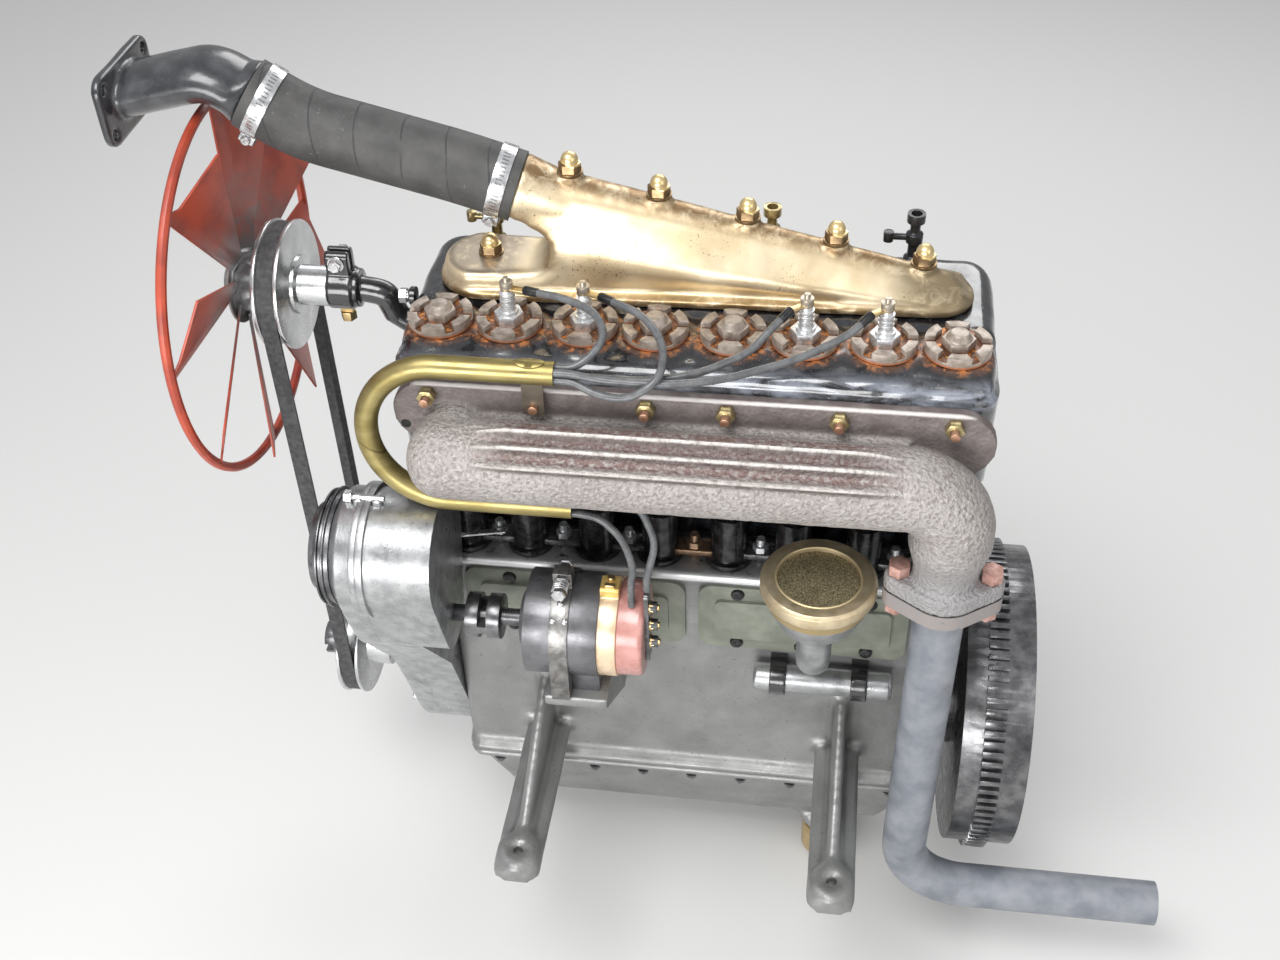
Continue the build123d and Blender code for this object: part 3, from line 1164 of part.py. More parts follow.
# Brass water outlet: a long tapering hood with a toe in front and a neck for the hose
with BuildPart() as outlet_hood:
    # Cross sections of the hood: (x, half width at the base, radius along the ridge)
    for x, half_width, ridge_radius in (
        (OUTLET_FRONT_X, OUTLET_FRONT_HALF_WIDTH - OUTLET_LAND, RIDGE_FRONT_RADIUS),
        (OUTLET_REAR_X, OUTLET_REAR_HALF_WIDTH - OUTLET_LAND, RIDGE_REAR_RADIUS),
    ):
        with BuildSketch(cross_plane(x)):
            with Locations((0, ridge_z(x) - ridge_radius)):
                Circle(ridge_radius)
            with Locations((0, BLOCK_TOP_Z + OUTLET_BASE / 2)):
                Rectangle(2 * half_width, OUTLET_BASE)
            make_hull()
    loft(ruled=True)
    # Seen from the side: a flat toe, a hollow under the neck and a quarter round at the tail
    tail_x = OUTLET_STUDS_X[-1] + BOSS_RADIUS + OUTLET_LAND
    tail_top_z = ridge_z(tail_x)
    above_z = ridge_z(OUTLET_FRONT_X) + RIDGE_FRONT_RADIUS
    with BuildSketch(side_plane()):
        with BuildLine():
            Polyline(
                (OUTLET_REAR_X, BLOCK_TOP_Z),
                (OUTLET_FRONT_X, BLOCK_TOP_Z),
                (OUTLET_FRONT_X, TOE_TOP_Z),
                (NOTCH_X, TOE_TOP_Z),
            )
            ThreePointArc(
                (NOTCH_X, TOE_TOP_Z),
                (NOTCH_X + NOTCH_RADIUS, TOE_TOP_Z + NOTCH_RADIUS),
                (NOTCH_X, TOE_TOP_Z + 2 * NOTCH_RADIUS),
            )
            Polyline(
                (NOTCH_X, TOE_TOP_Z + 2 * NOTCH_RADIUS),
                (NOTCH_X, above_z),
                (tail_x, above_z),
                (tail_x, tail_top_z),
            )
            TangentArc(
                (tail_x, tail_top_z), (OUTLET_REAR_X, BLOCK_TOP_Z), tangent=(1, -TAIL_SLOPE)
            )
        make_face()
    extrude(amount=2 * OUTLET_FRONT_HALF_WIDTH, both=True, mode=Mode.INTERSECT)
    # Seen from above: round ends that lean inwards
    with BuildSketch(Plane.XY.offset(BLOCK_TOP_Z)):
        with Locations((OUTLET_FRONT_X + OUTLET_FRONT_HALF_WIDTH, 0)):
            Circle(OUTLET_FRONT_HALF_WIDTH - OUTLET_LAND / 2)
        with Locations((OUTLET_REAR_X - OUTLET_REAR_HALF_WIDTH, 0)):
            Circle(OUTLET_REAR_HALF_WIDTH - OUTLET_LAND / 2)
        make_hull()
    extrude(amount=above_z - BLOCK_TOP_Z, taper=OUTLET_TAPER, mode=Mode.INTERSECT)
    toe_edges = outlet_hood.edges().filter_by_position(Axis.Z, TOE_TOP_Z - 1, TOE_TOP_Z + 1)
    fillet(toe_edges.filter_by_position(Axis.X, OUTLET_FRONT_X, NOTCH_X - 1), TOE_ROUND)

with BuildPart() as water_outlet:
    neck_axis = Vector(-cos(radians(NECK_ANGLE)), 0, sin(radians(NECK_ANGLE)))
    hose_start = Vector(HOSE_START_X, 0, HOSE_START_Z)
    add(outlet_hood.part)
    with BuildSketch(Plane.XY.offset(BLOCK_TOP_Z)):
        with Locations((OUTLET_FRONT_X + OUTLET_FRONT_HALF_WIDTH, 0)):
            Circle(OUTLET_FRONT_HALF_WIDTH)
        with Locations((OUTLET_REAR_X - OUTLET_REAR_HALF_WIDTH, 0)):
            Circle(OUTLET_REAR_HALF_WIDTH)
        make_hull()
    extrude(amount=OUTLET_BASE)
    # Neck, tapering into the hood, and the spigot that the hose fits on
    with BuildSketch(Plane(origin=hose_start, z_dir=-neck_axis)):
        Circle(HOSE_RADIUS - HOSE_SEAT_STEP)
    with BuildSketch(Plane(origin=hose_start - neck_axis * NECK_RUN, z_dir=-neck_axis)):
        Circle(NECK_END_RADIUS)
    loft(ruled=True)
    with BuildSketch(Plane(origin=hose_start, z_dir=neck_axis)):
        Circle(HOSE_RADIUS - HOSE_WALL - FIT_GAP)
    extrude(amount=SPIGOT_LENGTH)
    with BuildSketch(Plane(origin=hose_start + neck_axis * SPIGOT_LENGTH, z_dir=-neck_axis)):
        Circle(HOSE_RADIUS - HOSE_WALL - SPIGOT_WALL)
    extrude(amount=SPIGOT_LENGTH + HOSE_RADIUS, mode=Mode.SUBTRACT)
    for x in OUTLET_STUDS_X:
        with BuildSketch(Plane.XY.offset(stud_top_z(x))):
            with Locations((x, 0)):
                Circle(BOSS_RADIUS)
        extrude(amount=-2 * BOSS_RADIUS if x > OUTLET_FIRST_STUD_X else -BOSS_RADIUS)
        # A flat seat for the washer, where the neck rises past it
        with BuildSketch(Plane.XY.offset(stud_top_z(x))):
            with Locations((x, 0)):
                Circle(BOSS_RADIUS)
        extrude(amount=NUT_HEIGHT, mode=Mode.SUBTRACT)

# Dome nuts on their washers, along the ridge
with BuildPart() as one_dome_nut:
    Cylinder(WASHER_RADIUS, WASHER_THICKNESS, align=(Align.CENTER, Align.CENTER, Align.MIN))
    with BuildSketch(Plane.XY.offset(WASHER_THICKNESS)):
        RegularPolygon(radius=NUT_HEX / 2, side_count=6, major_radius=False)
    extrude(amount=NUT_HEIGHT / 2 - WASHER_THICKNESS)
    dome_radius = NUT_HEX / 2 - NUT_DOME_STEP
    Cylinder(dome_radius, NUT_HEIGHT - dome_radius, align=(Align.CENTER, Align.CENTER, Align.MIN))
    with Locations((0, 0, NUT_HEIGHT - dome_radius)):
        Sphere(dome_radius)

with BuildPart() as dome_nuts:
    with Locations(*[(x, 0, stud_top_z(x)) for x in OUTLET_STUDS_X]):
        add(one_dome_nut.part)

# Radiator hose between the outlet's neck and the elbow
hose_end = Vector(HOSE_END_X, 0, HOSE_END_Z)
elbow_axis = Vector(-cos(radians(ELBOW_ANGLE)), 0, sin(radians(ELBOW_ANGLE)))
HOSE_ROUTE = [
    hose_start,
    hose_start + neck_axis * HOSE_END_RUN,
    hose_end - elbow_axis * HOSE_END_RUN,
    hose_end,
]
with BuildPart() as radiator_hose:
    add(tube(HOSE_ROUTE, bend_radii(HOSE_ROUTE), HOSE_RADIUS, HOSE_RADIUS - HOSE_WALL))

# Worm-drive clips round both ends of the hose
with BuildPart() as hose_clips:
    for end, inward in ((hose_start, neck_axis), (hose_end, -elbow_axis)):
        clip_plane = Plane(origin=end + inward * (CLIP_INSET - CLIP_WIDTH / 2), x_dir=(0, 1, 0), z_dir=inward)
        with BuildSketch(clip_plane):
            Circle(HOSE_RADIUS + CLIP_THICKNESS)
            Circle(HOSE_RADIUS, mode=Mode.SUBTRACT)
        extrude(amount=CLIP_WIDTH)
        down = -1 if clip_plane.y_dir.Z > 0 else 1
        with BuildSketch(clip_plane):
            with Locations((0, down * (HOSE_RADIUS + CLIP_THICKNESS + CLIP_SCREW_RISE))):
                Rectangle(CLIP_SCREW_LENGTH, CLIP_SCREW_HEIGHT)
            Circle(HOSE_RADIUS, mode=Mode.SUBTRACT)
        extrude(amount=CLIP_WIDTH)

# Radiator elbow: round at the hose, flat oval at its four-bolt flange
with BuildPart() as elbow_shape:
    corner = hose_end + elbow_axis * ELBOW_RUN
    face = Vector(ELBOW_FACE_X, 0, ELBOW_FACE_Z)
    beyond = face + (face - corner).normalized() * ELBOW_OVERRUN
    oval_start = hose_end + elbow_axis * ELBOW_ROUND_RUN
    with BuildLine() as elbow_route:
        FilletPolyline(oval_start, corner, beyond, radius=ELBOW_BEND)
    with BuildSketch(Plane(origin=oval_start, x_dir=(0, 1, 0), z_dir=elbow_axis)):
        Ellipse(ELBOW_HALF_WIDTH, ELBOW_HALF_HEIGHT)
    sweep()

with BuildPart() as elbow_bore:
    with BuildSketch(Plane(origin=oval_start, x_dir=(0, 1, 0), z_dir=elbow_axis)):
        Ellipse(ELBOW_HALF_WIDTH - ELBOW_WALL, ELBOW_HALF_HEIGHT - ELBOW_WALL)
    sweep(path=elbow_route.line)

with BuildPart() as radiator_elbow:
    add(elbow_shape.part)
    with BuildSketch(Plane(origin=hose_end, x_dir=(0, 1, 0), z_dir=elbow_axis)):
        Circle(HOSE_RADIUS - HOSE_SEAT_STEP)
    with BuildSketch(Plane(origin=oval_start, x_dir=(0, 1, 0), z_dir=elbow_axis)):
        Ellipse(ELBOW_HALF_WIDTH, ELBOW_HALF_HEIGHT)
    loft(ruled=True)
    with BuildSketch(cross_plane(ELBOW_FACE_X, 0, ELBOW_FACE_Z)):
        RectangleRounded(ELBOW_FLANGE_WIDTH, ELBOW_FLANGE_HEIGHT, ELBOW_FLANGE_CORNER)
        with GridLocations(ELBOW_BOLT_X, ELBOW_BOLT_Z, 2, 2):
            Circle(ELBOW_HOLE_RADIUS, mode=Mode.SUBTRACT)
    extrude(amount=ELBOW_FLANGE_THICKNESS)
    with BuildSketch(Plane(origin=hose_end, z_dir=-elbow_axis)):
        Circle(HOSE_RADIUS - HOSE_WALL - FIT_GAP)
    extrude(amount=SPIGOT_LENGTH)
    add(elbow_bore.part, mode=Mode.SUBTRACT)
    with BuildSketch(Plane(origin=hose_end - elbow_axis * SPIGOT_LENGTH, z_dir=elbow_axis)):
        Circle(ELBOW_HALF_HEIGHT - ELBOW_WALL - ELBOW_ENTRY_STEP)
    extrude(amount=SPIGOT_LENGTH + 1.2 * ELBOW_ROUND_RUN, mode=Mode.SUBTRACT)
    # The flange's face is cut square across
    split(bisect_by=cross_plane(ELBOW_FACE_X), keep=Keep.TOP)

# Exhaust manifold: a flange plate, a ribbed log and a bend down to the joint
with BuildPart() as manifold_bend:
    add(tube(
        [
            (LOG_FRONT_X - LOG_RADIUS, LOG_Y, LOG_Z),
            (DOWNPIPE_X, LOG_Y, LOG_Z),
            (DOWNPIPE_X, LOG_Y, NECK_TOP_Z),
        ],
        [MANIFOLD_BEND],
        LOG_RADIUS,
    ))
    fillet(manifold_bend.edges().group_by(Axis.X)[0], LOG_END_ROUND)

with BuildPart() as exhaust_manifold:
    with BuildSketch(side_plane(CHEST_NEAR_Y, PLATE_Z)):
        with Locations(((PLATE_FRONT_X + PLATE_REAR_X) / 2, 0)):
            SlotOverall(PLATE_REAR_X - PLATE_FRONT_X, PLATE_HEIGHT)
    extrude(amount=PLATE_THICKNESS)
    add(manifold_bend.part)
    with BuildSketch(side_plane(PLATE_FACE_Y, LOG_Z)):
        with Locations((LOG_FRONT_X, 0)):
            Circle(LOG_RADIUS - LOG_WEB_STEP)
        with Locations((LOG_FRONT_X, 0)):
            Rectangle(
                DOWNPIPE_X - MANIFOLD_BEND - LOG_FRONT_X,
                LOG_WEB_HEIGHT,
                align=(Align.MIN, Align.CENTER),
            )
    extrude(amount=PLATE_FACE_Y - LOG_Y)
    for rib_angle in LOG_RIB_ANGLES:
        rib_y = LOG_Y - LOG_RADIUS * sin(radians(rib_angle))
        rib_z = LOG_Z + LOG_RADIUS * cos(radians(rib_angle))
        with BuildSketch(cross_plane(LOG_RIB_FRONT_X, rib_y, rib_z)):
            Circle(LOG_RIB_RADIUS)
        extrude(amount=LOG_RIB_REAR_X - LOG_RIB_FRONT_X)
    with BuildSketch(Plane.XY.offset(NECK_TOP_Z)):
        with Locations((DOWNPIPE_X, LOG_Y)):
            Circle(LOG_RADIUS)
    with BuildSketch(Plane.XY.offset(NECK_TOP_Z - NECK_TAPER)):
        with Locations((DOWNPIPE_X, LOG_Y)):
            Circle(NECK_RADIUS)
    loft(ruled=True)
    with BuildSketch(Plane.XY.offset(JOINT_Z)):
        with Locations((DOWNPIPE_X, LOG_Y)):
            Circle(NECK_RADIUS)
    extrude(amount=NECK_TOP_Z - NECK_TAPER - JOINT_Z)
    with BuildSketch(Plane.XY.offset(JOINT_Z)) as joint_outline:
        with Locations((DOWNPIPE_X, LOG_Y)):
            Circle(JOINT_HUB_RADIUS)
        with Locations((DOWNPIPE_X - JOINT_BOLT_X, LOG_Y), (DOWNPIPE_X + JOINT_BOLT_X, LOG_Y)):
            Circle(JOINT_EAR_RADIUS)
        make_hull()
        with Locations((DOWNPIPE_X - JOINT_BOLT_X, LOG_Y), (DOWNPIPE_X + JOINT_BOLT_X, LOG_Y)):
            Circle(JOINT_BOLT_RADIUS + FIT_GAP, mode=Mode.SUBTRACT)
    extrude(amount=JOINT_FLANGE)

# Manifold studs with their nuts
with BuildPart() as manifold_nuts:
    with BuildSketch(side_plane(PLATE_FACE_Y, PLATE_STUD_Z)):
        with Locations(*[(x, 0) for x in PLATE_STUDS_X]):
            RegularPolygon(radius=MANIFOLD_NUT_HEX / 2, side_count=6, major_radius=False)
    extrude(amount=MANIFOLD_NUT_HEIGHT)
    with BuildSketch(side_plane(PLATE_FACE_Y, PLATE_STUD_Z)):
        with Locations(*[(x, 0) for x in PLATE_STUDS_X]):
            Circle(MANIFOLD_STUD_RADIUS)
    extrude(amount=MANIFOLD_STUD_LENGTH)

# Exhaust pipe: a flange under the joint, then down and to the rear
with BuildPart() as downpipe:
    add(tube(
        [
            (DOWNPIPE_X, LOG_Y, JOINT_Z),
            (DOWNPIPE_X, LOG_Y, PIPE_LOW_Z),
            (PIPE_END_X, LOG_Y, PIPE_LOW_Z),
        ],
        [PIPE_BEND],
        PIPE_RADIUS,
        PIPE_RADIUS - PIPE_WALL,
    ))

with BuildPart() as exhaust_pipe:
    with BuildSketch(Plane.XY.offset(JOINT_Z)):
        add(joint_outline.sketch_local)
        with Locations((DOWNPIPE_X, LOG_Y)):
            Circle(PIPE_RADIUS - PIPE_WALL, mode=Mode.SUBTRACT)
    extrude(amount=-JOINT_FLANGE)
    add(downpipe.part)

with BuildPart() as one_flange_bolt:
    Cylinder(JOINT_BOLT_RADIUS, 2 * JOINT_FLANGE)
    with BuildSketch(Plane.XY.offset(JOINT_FLANGE), Plane.XY.offset(-JOINT_FLANGE - JOINT_HEAD_HEIGHT)):
        RegularPolygon(JOINT_BOLT_HEX / 2, 6, major_radius=False, rotation=30)
    extrude(amount=JOINT_HEAD_HEIGHT)

with BuildPart() as exhaust_flange_bolts:
    with Locations(
        (DOWNPIPE_X - JOINT_BOLT_X, LOG_Y, JOINT_Z),
        (DOWNPIPE_X + JOINT_BOLT_X, LOG_Y, JOINT_Z),
    ):
        add(one_flange_bolt.part)

# Lead tube: a brass tube bent back on itself round the front of the manifold
with BuildPart() as conduit_tube:
    conduit_drop = Vector(
        0, CONDUIT_TOP_Y - CONDUIT_LOW_Y, CONDUIT_TOP_Z - CONDUIT_LOW_Z
    ).length
    add(tube(
        [
            (CONDUIT_TOP_X, CONDUIT_TOP_Y, CONDUIT_TOP_Z),
            (CONDUIT_FRONT_X, CONDUIT_TOP_Y, CONDUIT_TOP_Z),
            (CONDUIT_FRONT_X, CONDUIT_LOW_Y, CONDUIT_LOW_Z),
            (CONDUIT_LOW_X, CONDUIT_LOW_Y, CONDUIT_LOW_Z),
        ],
        [0.495 * conduit_drop, 0.495 * conduit_drop],
        CONDUIT_RADIUS,
        CONDUIT_RADIUS - CONDUIT_WALL,
    ))

STRAP_STUD_X = PLATE_STUDS_X[1]
with BuildPart() as lead_conduit:
    add(conduit_tube.part)
    # A strap hangs from the tube to the second manifold stud
    strap_top_z = CONDUIT_TOP_Z - CONDUIT_RADIUS + CONDUIT_STRAP_LAP
    with BuildSketch(side_plane(PLATE_FACE_Y - MANIFOLD_NUT_HEIGHT, 0)):
        with BuildLine():
            Polyline(
                (STRAP_STUD_X - CONDUIT_STRAP_WIDTH / 2, PLATE_STUD_Z - CONDUIT_STRAP_END),
                (STRAP_STUD_X + CONDUIT_STRAP_WIDTH / 2, PLATE_STUD_Z - CONDUIT_STRAP_END),
                (STRAP_STUD_X + CONDUIT_STRAP_WIDTH / 2, strap_top_z),
                (STRAP_STUD_X - CONDUIT_STRAP_WIDTH / 2, strap_top_z),
                close=True,
            )
        make_face()
        with Locations((STRAP_STUD_X, PLATE_STUD_Z)):
            Circle(MANIFOLD_STUD_RADIUS + FIT_GAP, mode=Mode.SUBTRACT)
    extrude(amount=CONDUIT_STRAP_THICKNESS)

# Rubber grommets that close both ends of the lead tube
with BuildPart() as lead_grommets:
    for end_x, end_y, end_z in (
        (CONDUIT_TOP_X, CONDUIT_TOP_Y, CONDUIT_TOP_Z),
        (CONDUIT_LOW_X, CONDUIT_LOW_Y, CONDUIT_LOW_Z),
    ):
        with BuildSketch(cross_plane(end_x, end_y, end_z)):
            Circle(CONDUIT_RADIUS - CONDUIT_WALL)
        extrude(amount=-GROMMET_LENGTH)

# Plug leads in the order of their spark plugs, with corners chosen by eye along the
# photograph's curves; each row gives the slot in the grommet and the tab's heading
PLUG_LEADS = (
    ((1, 1), -10, [
        (-77, -144, 518), (-66, -128, 527), (-76, -106, 535), (-104, -89, 536),
    ]),
    ((-1, -1), -21, [
        (-66, -167, 497.5), (-41.6, -172, 500), (-18, -163, 514), (-18, -128, 523), (-38, -101, 532),
    ]),
    ((1, -1), -140, [
        (-66, -150, 502.5), (-26, -149, 502), (12, -140, 506), (50, -117, 513), (66, -100, 526),
    ]),
    ((-1, 1), -140, [
        (-66, -158.5, 507), (-18, -158, 505.5), (28, -148, 506), (90, -121, 512), (128, -101, 524),
    ]),
)


def lead_end(plug_x, heading):
    """Where a lead meets its tab beside a spark plug."""
    return (
        plug_x + LEAD_END_REACH * cos(radians(heading)),
        VALVE_Y + LEAD_END_REACH * sin(radians(heading)),
        LEAD_END_Z,
    )


with BuildPart() as plug_leads:
    for plug_x, ((slot_y, slot_z), heading, corners) in zip(SPARK_VALVES_X, PLUG_LEADS):
        start = (
            CONDUIT_TOP_X,
            CONDUIT_TOP_Y + slot_y * LEAD_OFFSET,
            CONDUIT_TOP_Z + slot_z * LEAD_OFFSET,
        )
        straight = (CONDUIT_TOP_X + LEAD_EXIT, *start[1:])
        lead_route = [start, straight, *corners, lead_end(plug_x, heading)]
        lead = tube(lead_route, bend_radii(lead_route), LEAD_RADIUS)
        add(lead)

# Brass tabs between each lead and its plug's terminal
with BuildPart() as lead_terminals:
    for plug_x, (slot, heading, corners) in zip(SPARK_VALVES_X, PLUG_LEADS):
        tab_plane = Plane(
            origin=(plug_x, VALVE_Y, LEAD_END_Z - TAB_THICKNESS / 2),
            x_dir=(cos(radians(heading)), sin(radians(heading)), 0),
            z_dir=(0, 0, 1),
        )
        with BuildSketch(tab_plane):
            Circle(TERMINAL_NUT_RADIUS)
            with Locations(((LEAD_END_REACH - TAB_END_GAP) / 2, 0)):
                Rectangle(LEAD_END_REACH - TAB_END_GAP, TAB_WIDTH)
            Circle(TERMINAL_RADIUS + FIT_GAP, mode=Mode.SUBTRACT)
        extrude(amount=TAB_THICKNESS)

# Magneto: a round body on a flat foot, with its drive end in front
with BuildPart() as magneto:
    add(turned_on_x([
        (MAGNETO_FRONT_X - MAGNETO_NOSE_LENGTH, DRIVE_SHAFT_RADIUS + RUNNING_GAP),
        (MAGNETO_FRONT_X - MAGNETO_NOSE_LENGTH, MAGNETO_NOSE_RADIUS),
        (MAGNETO_FRONT_X, MAGNETO_NOSE_ROOT),
        (MAGNETO_FRONT_X, MAGNETO_RADIUS),
        (MAGNETO_RING_X, MAGNETO_RADIUS),
        (MAGNETO_RING_X, 0),
        (MAGNETO_FRONT_X + MAGNETO_BORE_DEPTH, 0),
        (MAGNETO_FRONT_X + MAGNETO_BORE_DEPTH, DRIVE_SHAFT_RADIUS + RUNNING_GAP),
    ], MAGNETO_Y, MAGNETO_Z))
    with BuildSketch(Plane.XY.offset(PLATFORM_Z)):
        with Locations(((PLATFORM_FRONT_X + PLATFORM_REAR_X) / 2, MAGNETO_Y)):
            Rectangle(
                PLATFORM_REAR_X - PLATFORM_FRONT_X - 2 * MAGNETO_FOOT_INSET, MAGNETO_FOOT_WIDTH
            )
    extrude(amount=MAGNETO_Z - PLATFORM_Z - MAGNETO_RADIUS / 2)
    with BuildSketch(cross_plane(STRAP_X - STRAP_WIDTH / 2, MAGNETO_Y, MAGNETO_Z)):
        Circle(2 * MAGNETO_RADIUS)
        Circle(MAGNETO_RADIUS, mode=Mode.SUBTRACT)
    extrude(amount=STRAP_WIDTH, mode=Mode.SUBTRACT)

with BuildPart() as magneto_ring:
    with BuildSketch(cross_plane(MAGNETO_RING_X, MAGNETO_Y, MAGNETO_Z)):
        Circle(MAGNETO_RING_RADIUS)
        with Locations((0, MAGNETO_RING_RADIUS - RING_BLOCK_DROP)):
            RectangleRounded(RING_BLOCK_WIDTH, RING_BLOCK_HEIGHT, RING_BLOCK_CORNER)
    extrude(amount=MAGNETO_CAP_X - MAGNETO_RING_X)

with BuildPart() as magneto_cap:
    with BuildSketch(cross_plane(MAGNETO_CAP_X, MAGNETO_Y, MAGNETO_Z)):
        Circle(MAGNETO_CAP_RADIUS)
    extrude(amount=MAGNETO_REAR_X - MAGNETO_CAP_X)
    fillet(magneto_cap.edges().group_by(Axis.X)[-1], MAGNETO_CAP_ROUND)

# Terminal plate of the magneto, with three screws in a column
with BuildPart() as magneto_terminals:
    with BuildSketch(cross_plane(MAGNETO_REAR_X, MAGNETO_Y, MAGNETO_Z)):
        with Locations((SCREW_PLATE_Y, SCREW_PLATE_Z)):
            RectangleRounded(SCREW_PLATE_WIDTH, SCREW_PLATE_HEIGHT, SCREW_PLATE_CORNER)
    extrude(amount=SCREW_PLATE_THICKNESS)
    with BuildSketch(cross_plane(MAGNETO_REAR_X + SCREW_PLATE_THICKNESS, MAGNETO_Y, MAGNETO_Z)):
        with Locations((SCREW_PLATE_Y, SCREW_PLATE_Z)):
            with GridLocations(1, MAGNETO_SCREW_PITCH, 1, MAGNETO_SCREWS):
                Circle(MAGNETO_SCREW_RADIUS)
    extrude(amount=MAGNETO_SCREW_LENGTH)

# Steel strap with two lugs and a spring bolt over the magneto
with BuildPart() as magneto_strap:
    with BuildSketch(cross_plane(STRAP_X - STRAP_WIDTH / 2, MAGNETO_Y, MAGNETO_Z)):
        Circle(MAGNETO_RADIUS + STRAP_THICKNESS)
        with Locations((0, MAGNETO_RADIUS + STRAP_LUG_RISE)):
            Rectangle(STRAP_LUG_WIDTH, STRAP_LUG_HEIGHT)
        with Locations((0, (PLATFORM_Z - MAGNETO_Z) / 2)):
            Rectangle(2 * (MAGNETO_RADIUS + STRAP_THICKNESS), MAGNETO_Z - PLATFORM_Z)
        Circle(MAGNETO_RADIUS, mode=Mode.SUBTRACT)
    extrude(amount=STRAP_WIDTH)
    with BuildSketch(cross_plane(STRAP_X - STRAP_WIDTH / 2, MAGNETO_Y, MAGNETO_Z)):
        Rectangle(MAGNETO_FOOT_WIDTH, 3 * MAGNETO_RADIUS, align=(Align.CENTER, Align.MAX))
    extrude(amount=STRAP_WIDTH, mode=Mode.SUBTRACT)
    with BuildSketch(side_plane(MAGNETO_Y + STRAP_BOLT_Y, MAGNETO_Z + MAGNETO_RADIUS + STRAP_BOLT_RISE)):
        with Locations((STRAP_X, 0)):
            Circle(STRAP_BOLT_RADIUS)
    extrude(amount=STRAP_BOLT_LENGTH)

# Platform: a bent plate that carries the magneto clear of the side cover
with BuildPart() as magneto_platform:
    with BuildSketch(cross_plane(PLATFORM_FRONT_X)):
        with BuildLine():
            Polyline(
                (-CASE_HALF_WIDTH, COVER_BOTTOM_Z - PLATFORM_FOOT_TOP),
                (-CASE_HALF_WIDTH, COVER_BOTTOM_Z - PLATFORM_FOOT_LOW),
                (-CASE_HALF_WIDTH - PLATFORM_FOOT_DEPTH, COVER_BOTTOM_Z - PLATFORM_FOOT_LOW),
                (MAGNETO_Y - MAGNETO_RADIUS, PLATFORM_Z - PLATFORM_THICKNESS),
                (MAGNETO_Y - MAGNETO_RADIUS, PLATFORM_Z),
                (COVER_FACE_Y - PLATFORM_GAP, PLATFORM_Z),
                (COVER_FACE_Y - PLATFORM_GAP, COVER_BOTTOM_Z - PLATFORM_FOOT_TOP),
                close=True,
            )
        make_face()
    extrude(amount=PLATFORM_REAR_X - PLATFORM_FRONT_X)
    with BuildSketch(cross_plane(PLATFORM_FRONT_X + PLATFORM_WEB)):
        with BuildLine():
            Polyline(
                (-CASE_HALF_WIDTH - PLATFORM_HOLLOW_Y, PLATFORM_Z - PLATFORM_THICKNESS),
                (-CASE_HALF_WIDTH - PLATFORM_HOLLOW_Y, PLATFORM_Z - 4 * PLATFORM_THICKNESS),
                (MAGNETO_Y - MAGNETO_RADIUS + PLATFORM_HOLLOW_END, PLATFORM_Z - PLATFORM_THICKNESS),
                close=True,
            )
        make_face()
    extrude(amount=PLATFORM_REAR_X - PLATFORM_FRONT_X - 2 * PLATFORM_WEB, mode=Mode.SUBTRACT)

# Leads from the lead tube's lower end down to the magneto
MAGNETO_LEADS = (
    ((-1, -1), [
        (-70, -173, 371), (-51, -179, 355), (-42, -181, 325), (-45, -180, 300), (-45, -180, 274.5),
    ]),
    ((1, 1), [
        (-64, -160, 383), (-37, -162, 377), (-23, -172, 346), (-28, -178, 322), (-31, -179, 310),
        (-31, -179, 294),
    ]),
)
with BuildPart() as magneto_leads:
    for (slot_y, slot_z), corners in MAGNETO_LEADS:
        start = (
            CONDUIT_LOW_X,
            CONDUIT_LOW_Y + slot_y * LEAD_OFFSET,
            CONDUIT_LOW_Z + slot_z * LEAD_OFFSET,
        )
        straight = (CONDUIT_LOW_X + LEAD_EXIT / 2, *start[1:])
        lead_route = [start, straight, *corners]
        lead = tube(lead_route, bend_radii(lead_route), LEAD_RADIUS)
        add(lead)

# Magneto drive: a shaft between the timing case and the magneto, with a jawed coupling
with BuildPart() as magneto_drive:
    drive_front = -CASE_HALF + LOBE_REAR_DEPTH - TIMING_DEPTH
    disc_front = drive_front + DRIVE_DISC_GAP
    add(turned_on_x([
        (drive_front - DRIVE_CASE_DEPTH, 0),
        (drive_front - DRIVE_CASE_DEPTH, DRIVE_SHAFT_RADIUS),
        (disc_front, DRIVE_SHAFT_RADIUS),
        (disc_front, DRIVE_DISC_RADIUS),
        (disc_front + 2 * DRIVE_DISC_WIDTH + DRIVE_JAW, DRIVE_DISC_RADIUS),
        (disc_front + 2 * DRIVE_DISC_WIDTH + DRIVE_JAW, DRIVE_SHAFT_RADIUS),
        (MAGNETO_FRONT_X + DRIVE_END_DEPTH, DRIVE_SHAFT_RADIUS),
        (MAGNETO_FRONT_X + DRIVE_END_DEPTH, 0),
    ], MAGNETO_Y, MAGNETO_Z))
    with BuildSketch(cross_plane(disc_front + DRIVE_DISC_WIDTH, MAGNETO_Y, MAGNETO_Z)):
        Circle(DRIVE_DISC_RADIUS + DRIVE_CUT_MARGIN)
        Rectangle(3 * DRIVE_DISC_RADIUS, DRIVE_JAW, mode=Mode.SUBTRACT)
        Circle(DRIVE_SHAFT_RADIUS, mode=Mode.SUBTRACT)
    extrude(amount=DRIVE_JAW, mode=Mode.SUBTRACT)

# Breather: a bowl on a bent neck from the side cover, a brass ring and its gauze
BREATHER_RING_LOW = BREATHER_TOP_Z - BREATHER_RING_HEIGHT
with BuildPart() as breather_neck:
    add(tube(
        [
            (BREATHER_X, BREATHER_Y, BREATHER_RING_LOW - BREATHER_BOWL_DEPTH + BREATHER_NECK_LAP),
            (BREATHER_X, BREATHER_Y, BREATHER_NECK_Z),
            (BREATHER_X, COVER_FACE_Y, BREATHER_NECK_Z),
        ],
        [BREATHER_NECK_BEND],
        BREATHER_NECK_RADIUS,
    ))

